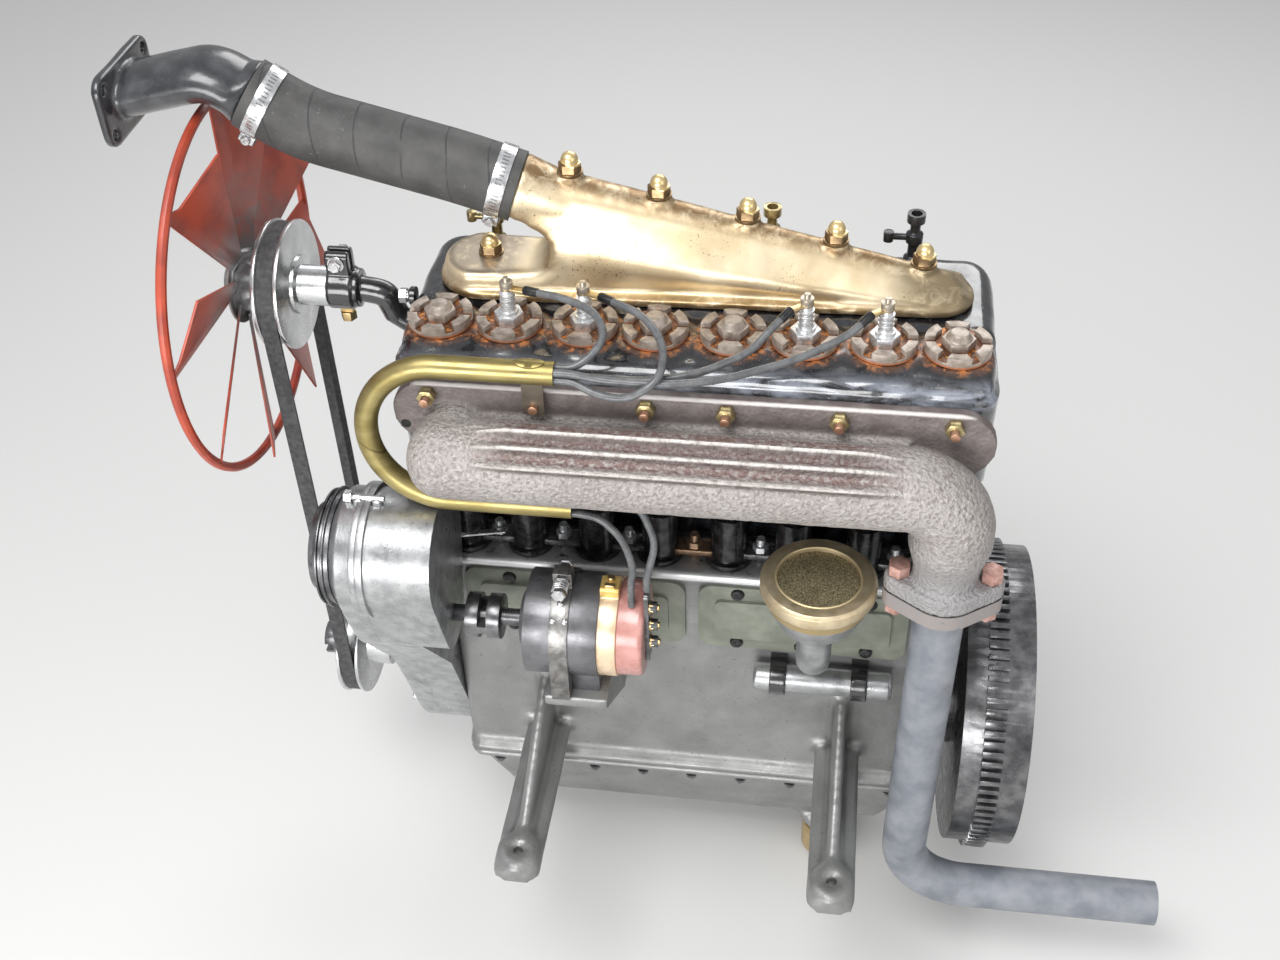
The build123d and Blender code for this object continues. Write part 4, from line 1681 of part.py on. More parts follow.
with BuildPart() as breather_bowl:
    add(turned_on_z([
        (0, BREATHER_RING_LOW),
        (BREATHER_RADIUS - BREATHER_LEDGE, BREATHER_RING_LOW),
        (0.88 * BREATHER_RADIUS, BREATHER_RING_LOW - 0.23 * BREATHER_BOWL_DEPTH),
        (0.69 * BREATHER_RADIUS, BREATHER_RING_LOW - 0.65 * BREATHER_BOWL_DEPTH),
        (BREATHER_NECK_RADIUS + BREATHER_NECK_FLARE, BREATHER_RING_LOW - BREATHER_BOWL_DEPTH),
        (0, BREATHER_RING_LOW - BREATHER_BOWL_DEPTH),
    ], BREATHER_X, BREATHER_Y))
    add(breather_neck.part)
    with BuildSketch(side_plane(COVER_FACE_Y, BREATHER_NECK_Z)):
        with Locations((BREATHER_X, 0)):
            Circle(BREATHER_FOOT_RADIUS)
    extrude(amount=BREATHER_FOOT_THICKNESS)

with BuildPart() as breather_ring:
    add(turned_on_z([
        (BREATHER_HOLE_RADIUS, BREATHER_RING_LOW),
        (BREATHER_RADIUS - BREATHER_RING_DRAFT, BREATHER_RING_LOW),
        (BREATHER_RADIUS, BREATHER_RING_LOW + BREATHER_RING_CHAMFER),
        (BREATHER_RADIUS, BREATHER_TOP_Z - BREATHER_RING_CHAMFER),
        (BREATHER_RADIUS - BREATHER_RING_CHAMFER, BREATHER_TOP_Z),
        (BREATHER_HOLE_RADIUS, BREATHER_TOP_Z),
    ], BREATHER_X, BREATHER_Y))

with BuildPart() as breather_gauze:
    with BuildSketch(Plane.XY.offset(BREATHER_RING_LOW)):
        with Locations((BREATHER_X, BREATHER_Y)):
            Circle(BREATHER_HOLE_RADIUS)
    extrude(amount=BREATHER_RING_HEIGHT - BREATHER_MESH_DROP)

# Priming taps along the far side of the outlet, one for each cylinder
with BuildPart() as one_tap:
    # The table gives (height, radius) up the tap
    tap_outline = [(radius, height) for height, radius in TAP_PROFILE]
    add(turned_on_z([(0, 0), *tap_outline, (tap_outline[-1][0], TAP_HEIGHT), (0, TAP_HEIGHT)]))
    with BuildSketch(Plane.XY.offset(TAP_HEIGHT)):
        Circle(TAP_CUP_RADIUS)
    extrude(amount=-TAP_CUP_DEPTH, mode=Mode.SUBTRACT)
    with BuildSketch(cross_plane(0, 0, TAP_LEVER_Z)):
        Circle(TAP_LEVER_RADIUS)
    extrude(amount=-TAP_LEVER_REACH)
    with Locations((-TAP_LEVER_REACH, 0, TAP_LEVER_Z)):
        Cylinder(TAP_KNOB_RADIUS, 3 * TAP_LEVER_RADIUS)

with BuildPart() as priming_taps:
    with Locations(*[(x + TAP_OFFSET_X, TAP_Y, BLOCK_TOP_Z) for x in CYLINDERS_X]):
        add(one_tap.part)

# Inlet: a bent pipe from the middle of the block's far side down to the carburettor
with BuildPart() as inlet_bend:
    add(tube(
        [
            (0, BLOCK_FAR_Y, INLET_Z),
            (0, BLOCK_FAR_Y + INLET_REACH, INLET_Z),
            (0, BLOCK_FAR_Y + INLET_REACH, INLET_Z - INLET_DROP),
        ],
        [INLET_BEND],
        INLET_RADIUS,
    ))

CARB_TOP_Z = INLET_Z - INLET_DROP
CARB_Y = BLOCK_FAR_Y + INLET_REACH
with BuildPart() as inlet_pipe:
    add(inlet_bend.part)
    for flange_plane, flange_y, thickness in (
        (side_plane(BLOCK_FAR_Y, INLET_Z), 0, -INLET_FLANGE_THICKNESS),
        (Plane.XY.offset(CARB_TOP_Z), CARB_Y, INLET_FLANGE_THICKNESS),
    ):
        with BuildSketch(flange_plane):
            with Locations((0, flange_y)):
                Circle(INLET_FLANGE_RADIUS)
            with Locations((-INLET_BOLT_X, flange_y), (INLET_BOLT_X, flange_y)):
                Circle(INLET_EAR_RADIUS)
            make_hull()
            with Locations((-INLET_BOLT_X, flange_y), (INLET_BOLT_X, flange_y)):
                Circle(INLET_HOLE_RADIUS, mode=Mode.SUBTRACT)
        extrude(amount=thickness)

# Carburettor: throttle barrel, float chamber and air horn in one casting
with BuildPart() as carburettor:
    with BuildSketch(Plane.XY.offset(CARB_TOP_Z)):
        with Locations((0, CARB_Y)):
            Circle(INLET_FLANGE_RADIUS)
        with Locations((-INLET_BOLT_X, CARB_Y), (INLET_BOLT_X, CARB_Y)):
            Circle(INLET_EAR_RADIUS)
        make_hull()
    extrude(amount=-INLET_FLANGE_THICKNESS)
    with BuildSketch(Plane.XY.offset(CARB_TOP_Z - INLET_FLANGE_THICKNESS)):
        with Locations((0, CARB_Y)):
            Circle(CARB_RADIUS)
    extrude(amount=-CARB_HEIGHT)
    with BuildSketch(Plane.XY.offset(CARB_TOP_Z - INLET_FLANGE_THICKNESS - FLOAT_TOP_GAP)):
        with Locations((FLOAT_GAP, CARB_Y)):
            Circle(FLOAT_RADIUS)
    extrude(amount=-FLOAT_HEIGHT)
    chamfer(carburettor.edges().group_by(Axis.Z)[0], CARB_CHAMFER)
    with BuildSketch(cross_plane(0, CARB_Y, CARB_TOP_Z - CARB_HEIGHT + FLOAT_LINK_RISE)):
        Circle(FLOAT_LINK_RADIUS)
    extrude(amount=FLOAT_GAP)
    with BuildSketch(cross_plane(0, CARB_Y, CARB_TOP_Z - HORN_DROP)):
        Circle(HORN_RADIUS)
    extrude(amount=-HORN_LENGTH)
    with BuildSketch(cross_plane(-HORN_LENGTH + HORN_RIM_WIDTH, CARB_Y, CARB_TOP_Z - HORN_DROP)):
        Circle(HORN_RIM_RADIUS)
    extrude(amount=-HORN_RIM_WIDTH)

# Water pump on the rear of the timing case, with its drop inlet
with BuildPart() as water_pump:
    pump_rear = -CASE_HALF + PUMP_DEPTH
    add(turned_on_x([
        (-CASE_HALF, 0),
        (-CASE_HALF, PUMP_RADIUS - PUMP_SEAT_STEP),
        (-CASE_HALF + PUMP_SEAT_WIDTH, PUMP_RADIUS - PUMP_SEAT_STEP),
        (-CASE_HALF + PUMP_SEAT_WIDTH, PUMP_RADIUS),
        (pump_rear - PUMP_REAR_SLOPE, PUMP_RADIUS),
        (pump_rear, PUMP_RADIUS - PUMP_REAR_SLOPE),
        (pump_rear, PUMP_GLAND_RADIUS),
        (pump_rear + PUMP_GLAND_LENGTH, PUMP_GLAND_TOP_RADIUS),
        (pump_rear + PUMP_GLAND_LENGTH, 0),
    ], PUMP_Y, PUMP_Z))
    with BuildSketch(Plane.XY.offset(PUMP_Z)):
        with Locations((PUMP_X, PUMP_Y)):
            Circle(PUMP_COLLAR_RADIUS)
    extrude(amount=PUMP_RADIUS + PUMP_COLLAR_RISE)
    with BuildSketch(Plane.XY.offset(PUMP_Z)):
        with Locations((PUMP_X, PUMP_Y)):
            Circle(WATER_PIPE_RADIUS)
    extrude(amount=-PUMP_RADIUS - PUMP_INLET_LENGTH)

with BuildPart() as pump_pipe_run:
    add(tube(
        [
            (PUMP_X, PUMP_Y, PUMP_Z + PUMP_RADIUS + PUMP_COLLAR_RISE),
            (PUMP_X, PUMP_Y, WATER_PIPE_Z - WATER_PIPE_DROP),
            (WATER_PIPE_X, PUMP_Y, WATER_PIPE_Z),
            (WATER_PIPE_X, BLOCK_FAR_Y, WATER_PIPE_Z),
        ],
        list(WATER_PIPE_BENDS),
        WATER_PIPE_RADIUS,
    ))

with BuildPart() as pump_pipe:
    add(pump_pipe_run.part)
    with BuildSketch(side_plane(BLOCK_FAR_Y, WATER_PIPE_Z)):
        with Locations((WATER_PIPE_X, 0)):
            Circle(WATER_FLANGE_RADIUS)
    extrude(amount=-WATER_FLANGE_THICKNESS)

# Each piece is labelled and written under its own name
PIECES = {
    "crankcase": crankcase,
    "sump": sump,
    "strainer_cap": strainer_cap,
    "crankcase_covers": crankcase_covers,
    "oil_rail": oil_rail,
    "oil_rail_clamps": oil_rail_clamps,
    "cylinder_block": cylinder_block,
    "valve_caps": valve_caps,
    "cap_plugs": cap_plugs,
    "spark_plugs": spark_plugs,
    "tappet_guides": tappet_guides,
    "tappet_clamps": tappet_clamps,
    "valve_stems": valve_stems,
    "valve_springs": valve_springs,
    "timing_case": timing_case,
    "timing_cover": timing_cover,
    "timing_end_cap": timing_end_cap,
    "crankshaft": crankshaft,
    "crank_pulley": crank_pulley,
    "flywheel": flywheel,
    "fan_pulley": fan_pulley,
    "fan": fan,
    "fan_spindle": fan_spindle,
    "fan_bracket": fan_bracket,
    "grease_plug": grease_plug,
    "fan_belt": fan_belt,
    "water_outlet": water_outlet,
    "dome_nuts": dome_nuts,
    "radiator_hose": radiator_hose,
    "hose_clips": hose_clips,
    "radiator_elbow": radiator_elbow,
    "exhaust_manifold": exhaust_manifold,
    "manifold_nuts": manifold_nuts,
    "exhaust_pipe": exhaust_pipe,
    "exhaust_flange_bolts": exhaust_flange_bolts,
    "lead_conduit": lead_conduit,
    "lead_grommets": lead_grommets,
    "plug_leads": plug_leads,
    "lead_terminals": lead_terminals,
    "magneto": magneto,
    "magneto_ring": magneto_ring,
    "magneto_cap": magneto_cap,
    "magneto_terminals": magneto_terminals,
    "magneto_strap": magneto_strap,
    "magneto_platform": magneto_platform,
    "magneto_leads": magneto_leads,
    "magneto_drive": magneto_drive,
    "breather_bowl": breather_bowl,
    "breather_ring": breather_ring,
    "breather_gauze": breather_gauze,
    "priming_taps": priming_taps,
    "inlet_pipe": inlet_pipe,
    "carburettor": carburettor,
    "water_pump": water_pump,
    "pump_pipe": pump_pipe,
}

os.makedirs("parts", exist_ok=True)
for label, piece in PIECES.items():
    piece.part.label = label
    export_step(piece.part, f"parts/{label}.step")
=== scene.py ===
import bmesh
import bpy
import contextlib
import json
import math
from mathutils import Matrix, Vector, noise


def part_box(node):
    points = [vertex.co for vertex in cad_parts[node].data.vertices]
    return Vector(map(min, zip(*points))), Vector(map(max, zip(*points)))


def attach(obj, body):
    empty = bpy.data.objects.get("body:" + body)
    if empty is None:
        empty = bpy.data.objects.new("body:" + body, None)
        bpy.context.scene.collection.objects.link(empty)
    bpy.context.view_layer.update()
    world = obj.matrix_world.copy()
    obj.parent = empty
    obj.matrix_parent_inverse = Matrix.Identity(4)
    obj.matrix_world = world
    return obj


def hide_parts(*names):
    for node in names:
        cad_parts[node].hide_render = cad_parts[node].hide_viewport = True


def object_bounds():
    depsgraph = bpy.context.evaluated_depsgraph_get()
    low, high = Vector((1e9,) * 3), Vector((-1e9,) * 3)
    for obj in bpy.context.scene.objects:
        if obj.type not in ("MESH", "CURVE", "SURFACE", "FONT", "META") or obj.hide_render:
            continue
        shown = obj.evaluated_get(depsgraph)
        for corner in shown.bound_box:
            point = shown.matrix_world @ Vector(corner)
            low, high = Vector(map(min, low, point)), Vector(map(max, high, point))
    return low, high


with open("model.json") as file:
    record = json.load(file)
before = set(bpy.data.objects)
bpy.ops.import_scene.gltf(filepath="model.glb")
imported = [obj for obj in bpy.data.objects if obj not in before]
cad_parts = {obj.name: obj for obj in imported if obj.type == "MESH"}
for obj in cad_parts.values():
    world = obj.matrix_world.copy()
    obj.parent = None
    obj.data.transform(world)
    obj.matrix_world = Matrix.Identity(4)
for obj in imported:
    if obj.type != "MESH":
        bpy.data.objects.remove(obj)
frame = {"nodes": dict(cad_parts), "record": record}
record = frame["record"]
nodes = frame["nodes"]
node_slot = {part["node"]: part["material_slot"] for part in record["subparts"]}
node_body = {n: body for body, names in record["behaviour"]["bodies"].items() for n in names}
MM = 0.001
frame_bounds = [list(corner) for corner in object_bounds()]


def corners(node):
    """The low and the high corner of a CAD node's box, in millimetres."""
    return [[value / MM for value in corner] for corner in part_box(node)]


def middle(node):
    low, high = corners(node)
    return [(a + b) / 2 for a, b in zip(low, high)]


# Places in millimetres that the frame gives
FAN_AXIS = middle("fan")
BREATHER_XY = middle("breather_ring")[:2]
VALVE_Y = middle("valve_springs")[1]
MANIFOLD_STUD_Z = middle("manifold_nuts")[2]
DECK_Z = corners("crankcase")[1][2]
BLOCK_TOP_Z = corners("cylinder_block")[1][2]
CAP_TOP_Z = corners("valve_caps")[1][2]
TIMING_COVER_X = corners("timing_cover")[0][0]

# Places repeated from the CAD source, in millimetres
BORE_PITCH = 125
FIRST_BORE_X = -1.5 * BORE_PITCH
VALVE_SIDE = 30
VALVES_X = [FIRST_BORE_X + BORE_PITCH * i + side for i in range(4) for side in (-VALVE_SIDE, VALVE_SIDE)]
MANIFOLD_YZ = (-173, 427)
RIB_DEGREES = (8, 32, 56)
RIBS_X = (-172, 178)
OUTLET_RIDGE_FALL = 0.24
CONDUIT_STRAP_X = -125
CONDUIT_TOP_YZ = (-155, 508)
CLIPS = (  # centre, direction ahead along the hose, direction down
    ((-172.3, 0, 591.6), (-0.951, 0, 0.309), (-0.309, 0, -0.951)),
    ((-368.3, 0, 656.1), (0.850, 0, -0.527), (-0.527, 0, -0.850)),
)
COVER_FACE_Y = -105
COVER_SCREWS_XZ = [(x + step, z) for x in (-113, 106) for step in (-62, 0, 62) for z in (158, 223)]
LONG_BOLT_YZ = (-165, 367.4)
BLOCK_BOLT_YZ = (-30, 489.5)
BRACKET_BOLT_XZ = (-329, 505)
BRACKET_FLANGE_X, BRACKET_FLANGE_YZ = -261, (0, 440)
TIMING_BOLTS_YZ = ((-59, -21), (-36, -52), (0, -63), (36, -52), (59, -21), (163, 90), (171, 122),
                   (150, 139), (-114, 131), (-36, 186))
SUMP_BOLTS_X = [-208 + 52 * i for i in range(9)]
SUMP_BOLT_SIDE, SUMP_BOLT_Z = 105, -50
MAGNETO_YZ = (-165, 231.5)
MAGNETO_BOLT_XZ = (-108, 290.5)
PLUG_LEADS = (  # plug's x, the tab's heading in degrees, the lead's first bend
    (-157.5, -10, (-104, -89, 536)),
    (-92.5, -21, (-38, -101, 532)),
    (92.5, -140, (66, -100, 526)),
    (157.5, -140, (128, -101, 524)),
)

materials = {}


class Graph:
    """A material's node graph, with short names for the nodes used here."""

    def __init__(self, name, colour, metallic=0.0, roughness=0.5, **plain):
        self.material = bpy.data.materials.new(name)
        self.material.use_nodes = True
        self.tree = self.material.node_tree
        self.shader = self.tree.nodes["Principled BSDF"]
        self.place = self.tree.nodes.new("ShaderNodeTexCoord").outputs["Object"]
        self.geometry = None
        self.last_bump = None
        self.colour = (*colour, 1.0)
        self.shader.inputs["Base Color"].default_value = self.colour
        self.shader.inputs["Metallic"].default_value = metallic
        self.shader.inputs["Roughness"].default_value = roughness
        for key, value in plain.items():
            self.shader.inputs[key.replace("_", " ")].default_value = value
        materials[name] = self.material

    def fill(self, socket, value):
        """Links a socket to another one, or sets it to a plain value."""
        if isinstance(value, bpy.types.NodeSocket):
            self.tree.links.new(value, socket)
        elif isinstance(value, (tuple, list)) and len(value) == 3 and len(socket.default_value) == 4:
            socket.default_value = (*value, 1.0)
        else:
            socket.default_value = value

    def noise(self, size_mm, detail=4.0, roughness=0.55, distortion=0.0, stretch=(1, 1, 1)):
        node = self.tree.nodes.new("ShaderNodeTexNoise")
        place = self.place
        if tuple(stretch) != (1, 1, 1):
            mapping = self.tree.nodes.new("ShaderNodeMapping")
            mapping.inputs["Scale"].default_value = stretch
            self.tree.links.new(self.place, mapping.inputs["Vector"])
            place = mapping.outputs["Vector"]
        self.tree.links.new(place, node.inputs["Vector"])
        node.inputs["Scale"].default_value = 1 / (size_mm * MM)
        node.inputs["Detail"].default_value = detail
        node.inputs["Roughness"].default_value = roughness
        node.inputs["Distortion"].default_value = distortion
        return node.outputs[0]

    def span(self, value, low, high, start=0.0, end=1.0):
        """Start where the value is low, end where it is high, and a ramp between."""
        node = self.tree.nodes.new("ShaderNodeMapRange")
        for key, item in zip(("Value", "From Min", "From Max", "To Min", "To Max"),
                             (value, low, high, start, end)):
            self.fill(node.inputs[key], item)
        return node.outputs["Result"]

    def span_mm(self, value, low_mm, high_mm, start=0.0, end=1.0):
        """The same for a length, with its two ends in millimetres."""
        return self.span(value, low_mm * MM, high_mm * MM, start, end)

    def past(self, axis, low_mm, high_mm, start=0.0, end=1.0):
        """The same for a place along an axis."""
        return self.span_mm(self.axis(axis), low_mm, high_mm, start, end)

    def math(self, kind, first, second=0.0):
        node = self.tree.nodes.new("ShaderNodeMath")
        node.operation = kind
        self.fill(node.inputs[0], first)
        self.fill(node.inputs[1], second)
        return node.outputs[0]

    def times(self, first, *others):
        for other in others:
            first = self.math("MULTIPLY", first, other)
        return first

    def inverse(self, share):
        return self.math("SUBTRACT", 1.0, share)

    def axis(self, name):
        node = self.tree.nodes.new("ShaderNodeSeparateXYZ")
        self.tree.links.new(self.place, node.inputs[0])
        return node.outputs[name]

    def distance(self, point_mm, axes="XYZ"):
        """The distance in metres to a point, or to a line where axes leaves one out."""
        total = None
        for letter, where in zip("XYZ", point_mm):
            if letter in axes:
                side = self.math("SUBTRACT", self.axis(letter), where * MM)
                square = self.math("MULTIPLY", side, side)
                total = square if total is None else self.math("ADD", total, square)
        return self.math("SQRT", total)

    def along(self, point_mm, direction):
        """The distance in metres from a point, measured along a direction."""
        shift = self.tree.nodes.new("ShaderNodeVectorMath")
        shift.operation = "SUBTRACT"
        self.tree.links.new(self.place, shift.inputs[0])
        shift.inputs[1].default_value = [v * MM for v in point_mm]
        node = self.tree.nodes.new("ShaderNodeVectorMath")
        node.operation = "DOT_PRODUCT"
        self.tree.links.new(shift.outputs[0], node.inputs[0])
        node.inputs[1].default_value = direction
        return node.outputs["Value"]

    def row(self, value, pitch_mm, first_mm=0.0):
        """The distance in metres to the nearest of a row of places a pitch apart."""
        return self.math("PINGPONG", self.math("SUBTRACT", value, first_mm * MM), pitch_mm / 2 * MM)

    def cap_distance(self):
        """The distance in metres to the axis of the nearest valve cap."""
        x = self.math("SUBTRACT", self.row(self.axis("X"), BORE_PITCH, FIRST_BORE_X), VALVE_SIDE * MM)
        y = self.math("SUBTRACT", self.axis("Y"), VALVE_Y * MM)
        return self.math("SQRT", self.math("ADD", self.times(x, x), self.times(y, y)))

    def ridge_height(self):
        """The height in metres, raised towards the rear as the water outlet's ridge falls."""
        return self.math("ADD", self.axis("Z"), self.times(self.axis("X"), OUTLET_RIDGE_FALL))

    def surface(self, output):
        """What Blender knows of the surface itself, such as its normal."""
        if self.geometry is None:
            self.geometry = self.tree.nodes.new("ShaderNodeNewGeometry")
        return self.geometry.outputs[output]

    def up(self):
        """How far the surface faces up, from -1 to 1."""
        node = self.tree.nodes.new("ShaderNodeSeparateXYZ")
        self.tree.links.new(self.surface("Normal"), node.inputs[0])
        return node.outputs["Z"]

    def blend(self, share, first, second):
        node = self.tree.nodes.new("ShaderNodeMix")
        node.data_type = "RGBA"
        self.fill(node.inputs[0], share)
        self.fill(node.inputs[6], first)
        self.fill(node.inputs[7], second)
        return node.outputs[2]

    def paint(self, colour, share):
        """Lays another colour over what is there, where share is 1."""
        before = self.colour
        self.colour = self.blend(share, before if isinstance(before, bpy.types.NodeSocket)
                                 else before[:3], colour)
        self.fill(self.shader.inputs["Base Color"], self.colour)

    def set(self, name, value):
        self.fill(self.shader.inputs[name], value)

    def bump(self, height, distance_mm):
        """Adds a relief to those that are there."""
        node = self.tree.nodes.new("ShaderNodeBump")
        node.inputs["Distance"].default_value = distance_mm * MM
        node.inputs["Strength"].default_value = 1.0
        self.fill(node.inputs["Height"], height)
        if self.last_bump:
            self.tree.links.new(self.last_bump, node.inputs["Normal"])
        self.last_bump = node.outputs["Normal"]
        self.tree.links.new(self.last_bump, self.shader.inputs["Normal"])


def mottled(name, dark, light, metallic, rough, grain_mm, bump_mm=0.0, bump_size=2.0,
            grime=None, grime_share=(0.55, 0.75), **plain):
    """A finish of two mottled tones, with dirt in patches and a fine grain."""
    graph = Graph(name, dark, metallic, rough, **plain)
    graph.paint(light, graph.span(graph.noise(grain_mm, 5), 0.38, 0.64))
    if grime is not None:
        patches = graph.noise(grain_mm * 2.7, 6, 0.65, 0.6)
        graph.paint(grime, graph.span(patches, *grime_share))
    graph.set("Roughness", graph.span(graph.noise(grain_mm * 0.8, 4), 0.3, 0.7, rough * 0.75, rough * 1.3))
    if bump_mm:
        graph.bump(graph.noise(bump_size, 3), bump_mm)
    return graph


def crankcase_aluminium():
    """Dull cast aluminium, oily on its deck, with a painted highlight along the deck's near lip."""
    g = mottled("case_aluminium", (0.25, 0.252, 0.247), (0.30, 0.303, 0.297), 0.60, 0.42, grain_mm=42,
                bump_mm=0.35, bump_size=3.6, grime=(0.17, 0.168, 0.16), grime_share=(0.50, 0.85))
    g.paint((0.12, 0.12, 0.115), g.span(g.noise(3.2, 3), 0.66, 0.73))
    # Darker in the concave creases: partly oil grime, partly painted shade
    g.paint((0.085, 0.084, 0.078), g.times(g.span(g.surface("Pointiness"), 0.485, 0.455), 0.8))
    deck = g.times(g.past("Z", DECK_Z - 1.5, DECK_Z - 0.5), g.past("Y", -50, -60))
    g.paint((0.34, 0.345, 0.35), g.times(deck, g.span(g.noise(20, 6, 0.65), 0.30, 0.56)))
    g.paint((0.06, 0.06, 0.062), g.times(deck, g.span(g.noise(11, 6, 0.7), 0.58, 0.66)))
    # A painted highlight along the deck's near lip, broken into streaks along its length
    deck_lip_highlight = g.times(g.past("Z", DECK_Z - 9.5, DECK_Z - 8), g.past("Z", DECK_Z + 1, DECK_Z - 0.5),
                  g.past("Y", -101.5, -102.5))
    g.paint((0.72, 0.725, 0.73), g.times(deck_lip_highlight, g.span(g.noise(30, 5, stretch=(0.3, 1, 1)), 0.36, 0.50)))


def block_paint():
    """Glossy black paint, rusty round the valve caps, with a painted reflection along the near edge."""
    g = Graph("block_black", (0.007, 0.007, 0.009), 0.0, 0.22, Coat_Weight=1.0, Coat_Roughness=0.07)
    g.paint((0.026, 0.029, 0.036), g.span(g.noise(11, 6), 0.5, 0.7))
    g.paint((0.22, 0.215, 0.21), g.times(g.span(g.noise(2.4, 3), 0.66, 0.70),
                                         g.span(g.noise(38, 3), 0.42, 0.58)))
    g.paint((0.15, 0.095, 0.065), g.span(g.noise(6, 8, 0.7), 0.68, 0.74))
    on_top = g.past("Z", BLOCK_TOP_Z - 8, BLOCK_TOP_Z - 4)
    by_cap = g.times(on_top, g.span_mm(g.cap_distance(), 36.5, 30.0))
    crust = g.span(g.noise(9, 7, 0.68), 0.50, 0.60)
    g.paint((0.105, 0.055, 0.038), g.times(by_cap, g.span(g.noise(12, 5), 0.30, 0.50)))
    g.paint((0.46, 0.175, 0.055), g.times(by_cap, crust))
    # A painted pale blue-grey reflection along the block's near top edge, stronger towards the rear
    edge = g.times(g.past("Z", BLOCK_TOP_Z - 35, BLOCK_TOP_Z - 23),
                   g.past("Z", BLOCK_TOP_Z - 3, BLOCK_TOP_Z - 11), g.past("Y", -100, -112))
    painted_reflection = g.span(g.noise(24, 6, 0.62, 0.5, (0.35, 1, 1)), 0.44, 0.58)
    g.paint((0.27, 0.29, 0.34), g.times(edge, painted_reflection, g.past("X", -200, 60, 0.30, 0.95)))
    g.set("Coat Weight", g.inverse(by_cap))
    g.set("Roughness", g.span(g.noise(14, 5), 0.35, 0.7, 0.16, 0.42))
    g.bump(g.noise(22, 3, 0.5), 0.5)
    g.bump(g.noise(3.2, 4, 0.6), 0.10)


def cap_steel():
    """The valve caps' steel, with rusty floors and slots and a coppery line round the foot."""
    g = Graph("cap_steel", (0.235, 0.192, 0.160), 0.35, 0.38)
    g.paint((0.40, 0.342, 0.292), g.span(g.noise(8, 5), 0.36, 0.58))
    low = g.past("Z", CAP_TOP_Z - 3.4, CAP_TOP_Z - 5.2)
    inside = g.span_mm(g.cap_distance(), 27.2, 26.6)
    g.paint((0.16, 0.075, 0.042), g.times(low, inside, g.span(g.noise(7, 5), 0.25, 0.42)))
    g.paint((0.62, 0.235, 0.050), g.times(low, inside, g.span(g.noise(5.5, 6, 0.65), 0.53, 0.62)))
    foot = g.past("Z", CAP_TOP_Z - 7.6, CAP_TOP_Z - 8.6)
    g.paint((0.50, 0.20, 0.10), g.times(foot, g.inverse(inside)))
    g.paint((0.55, 0.22, 0.06), g.times(g.span(g.noise(12, 7, 0.7), 0.64, 0.70),
                                        g.past("Z", CAP_TOP_Z + 1.5, CAP_TOP_Z - 2)))
    g.bump(g.noise(1.4, 4), 0.14)
    g.bump(g.noise(9, 3), 0.25)


def outlet_brass():
    """The water outlet's brass: pale on its flanks, browned along its ridge and foot."""
    g = Graph("outlet_brass", (0.655, 0.525, 0.330), 0.72, 0.40)
    g.paint((0.765, 0.650, 0.455), g.span(g.noise(42, 5, 0.55), 0.38, 0.60))
    worn = g.noise(13, 6, 0.65, 0.8)
    ridge = g.span_mm(g.ridge_height(), 561.5, 571.5)
    g.paint((0.275, 0.175, 0.085), g.times(ridge, g.span(worn, 0.30, 0.58)))
    notch = g.times(g.span_mm(g.distance((-149, 0, 540), "XZ"), 38, 21), g.past("Z", 521.5, 526))
    g.paint((0.33, 0.225, 0.115), g.times(notch, g.span(worn, 0.20, 0.60)))
    toe = g.times(g.past("Z", 516.5, 519), g.past("X", -150, -168), g.span(g.up(), 0.80, 0.95))
    g.paint((0.36, 0.30, 0.23), g.times(toe, g.span(worn, 0.22, 0.5)))
    g.paint((0.33, 0.225, 0.11), g.times(g.past("Z", 508.5, 503.5), g.span(worn, 0.30, 0.52)))
    rear = g.span_mm(g.math("ADD", g.axis("X"), g.times(g.axis("Z"), 0.15)), 232, 262)
    g.paint((0.29, 0.225, 0.135), g.times(rear, g.span(worn, 0.15, 0.55)))
    pits = g.times(g.span(g.noise(1.9, 3, 0.5), 0.635, 0.675), g.span(g.noise(46, 4), 0.50, 0.60))
    g.paint((0.16, 0.10, 0.045), pits)
    g.set("Roughness", g.span(g.noise(30, 5), 0.3, 0.7, 0.33, 0.47))
    g.bump(g.noise(38, 2), 0.45)
    g.bump(g.noise(2.0, 3), 0.025)


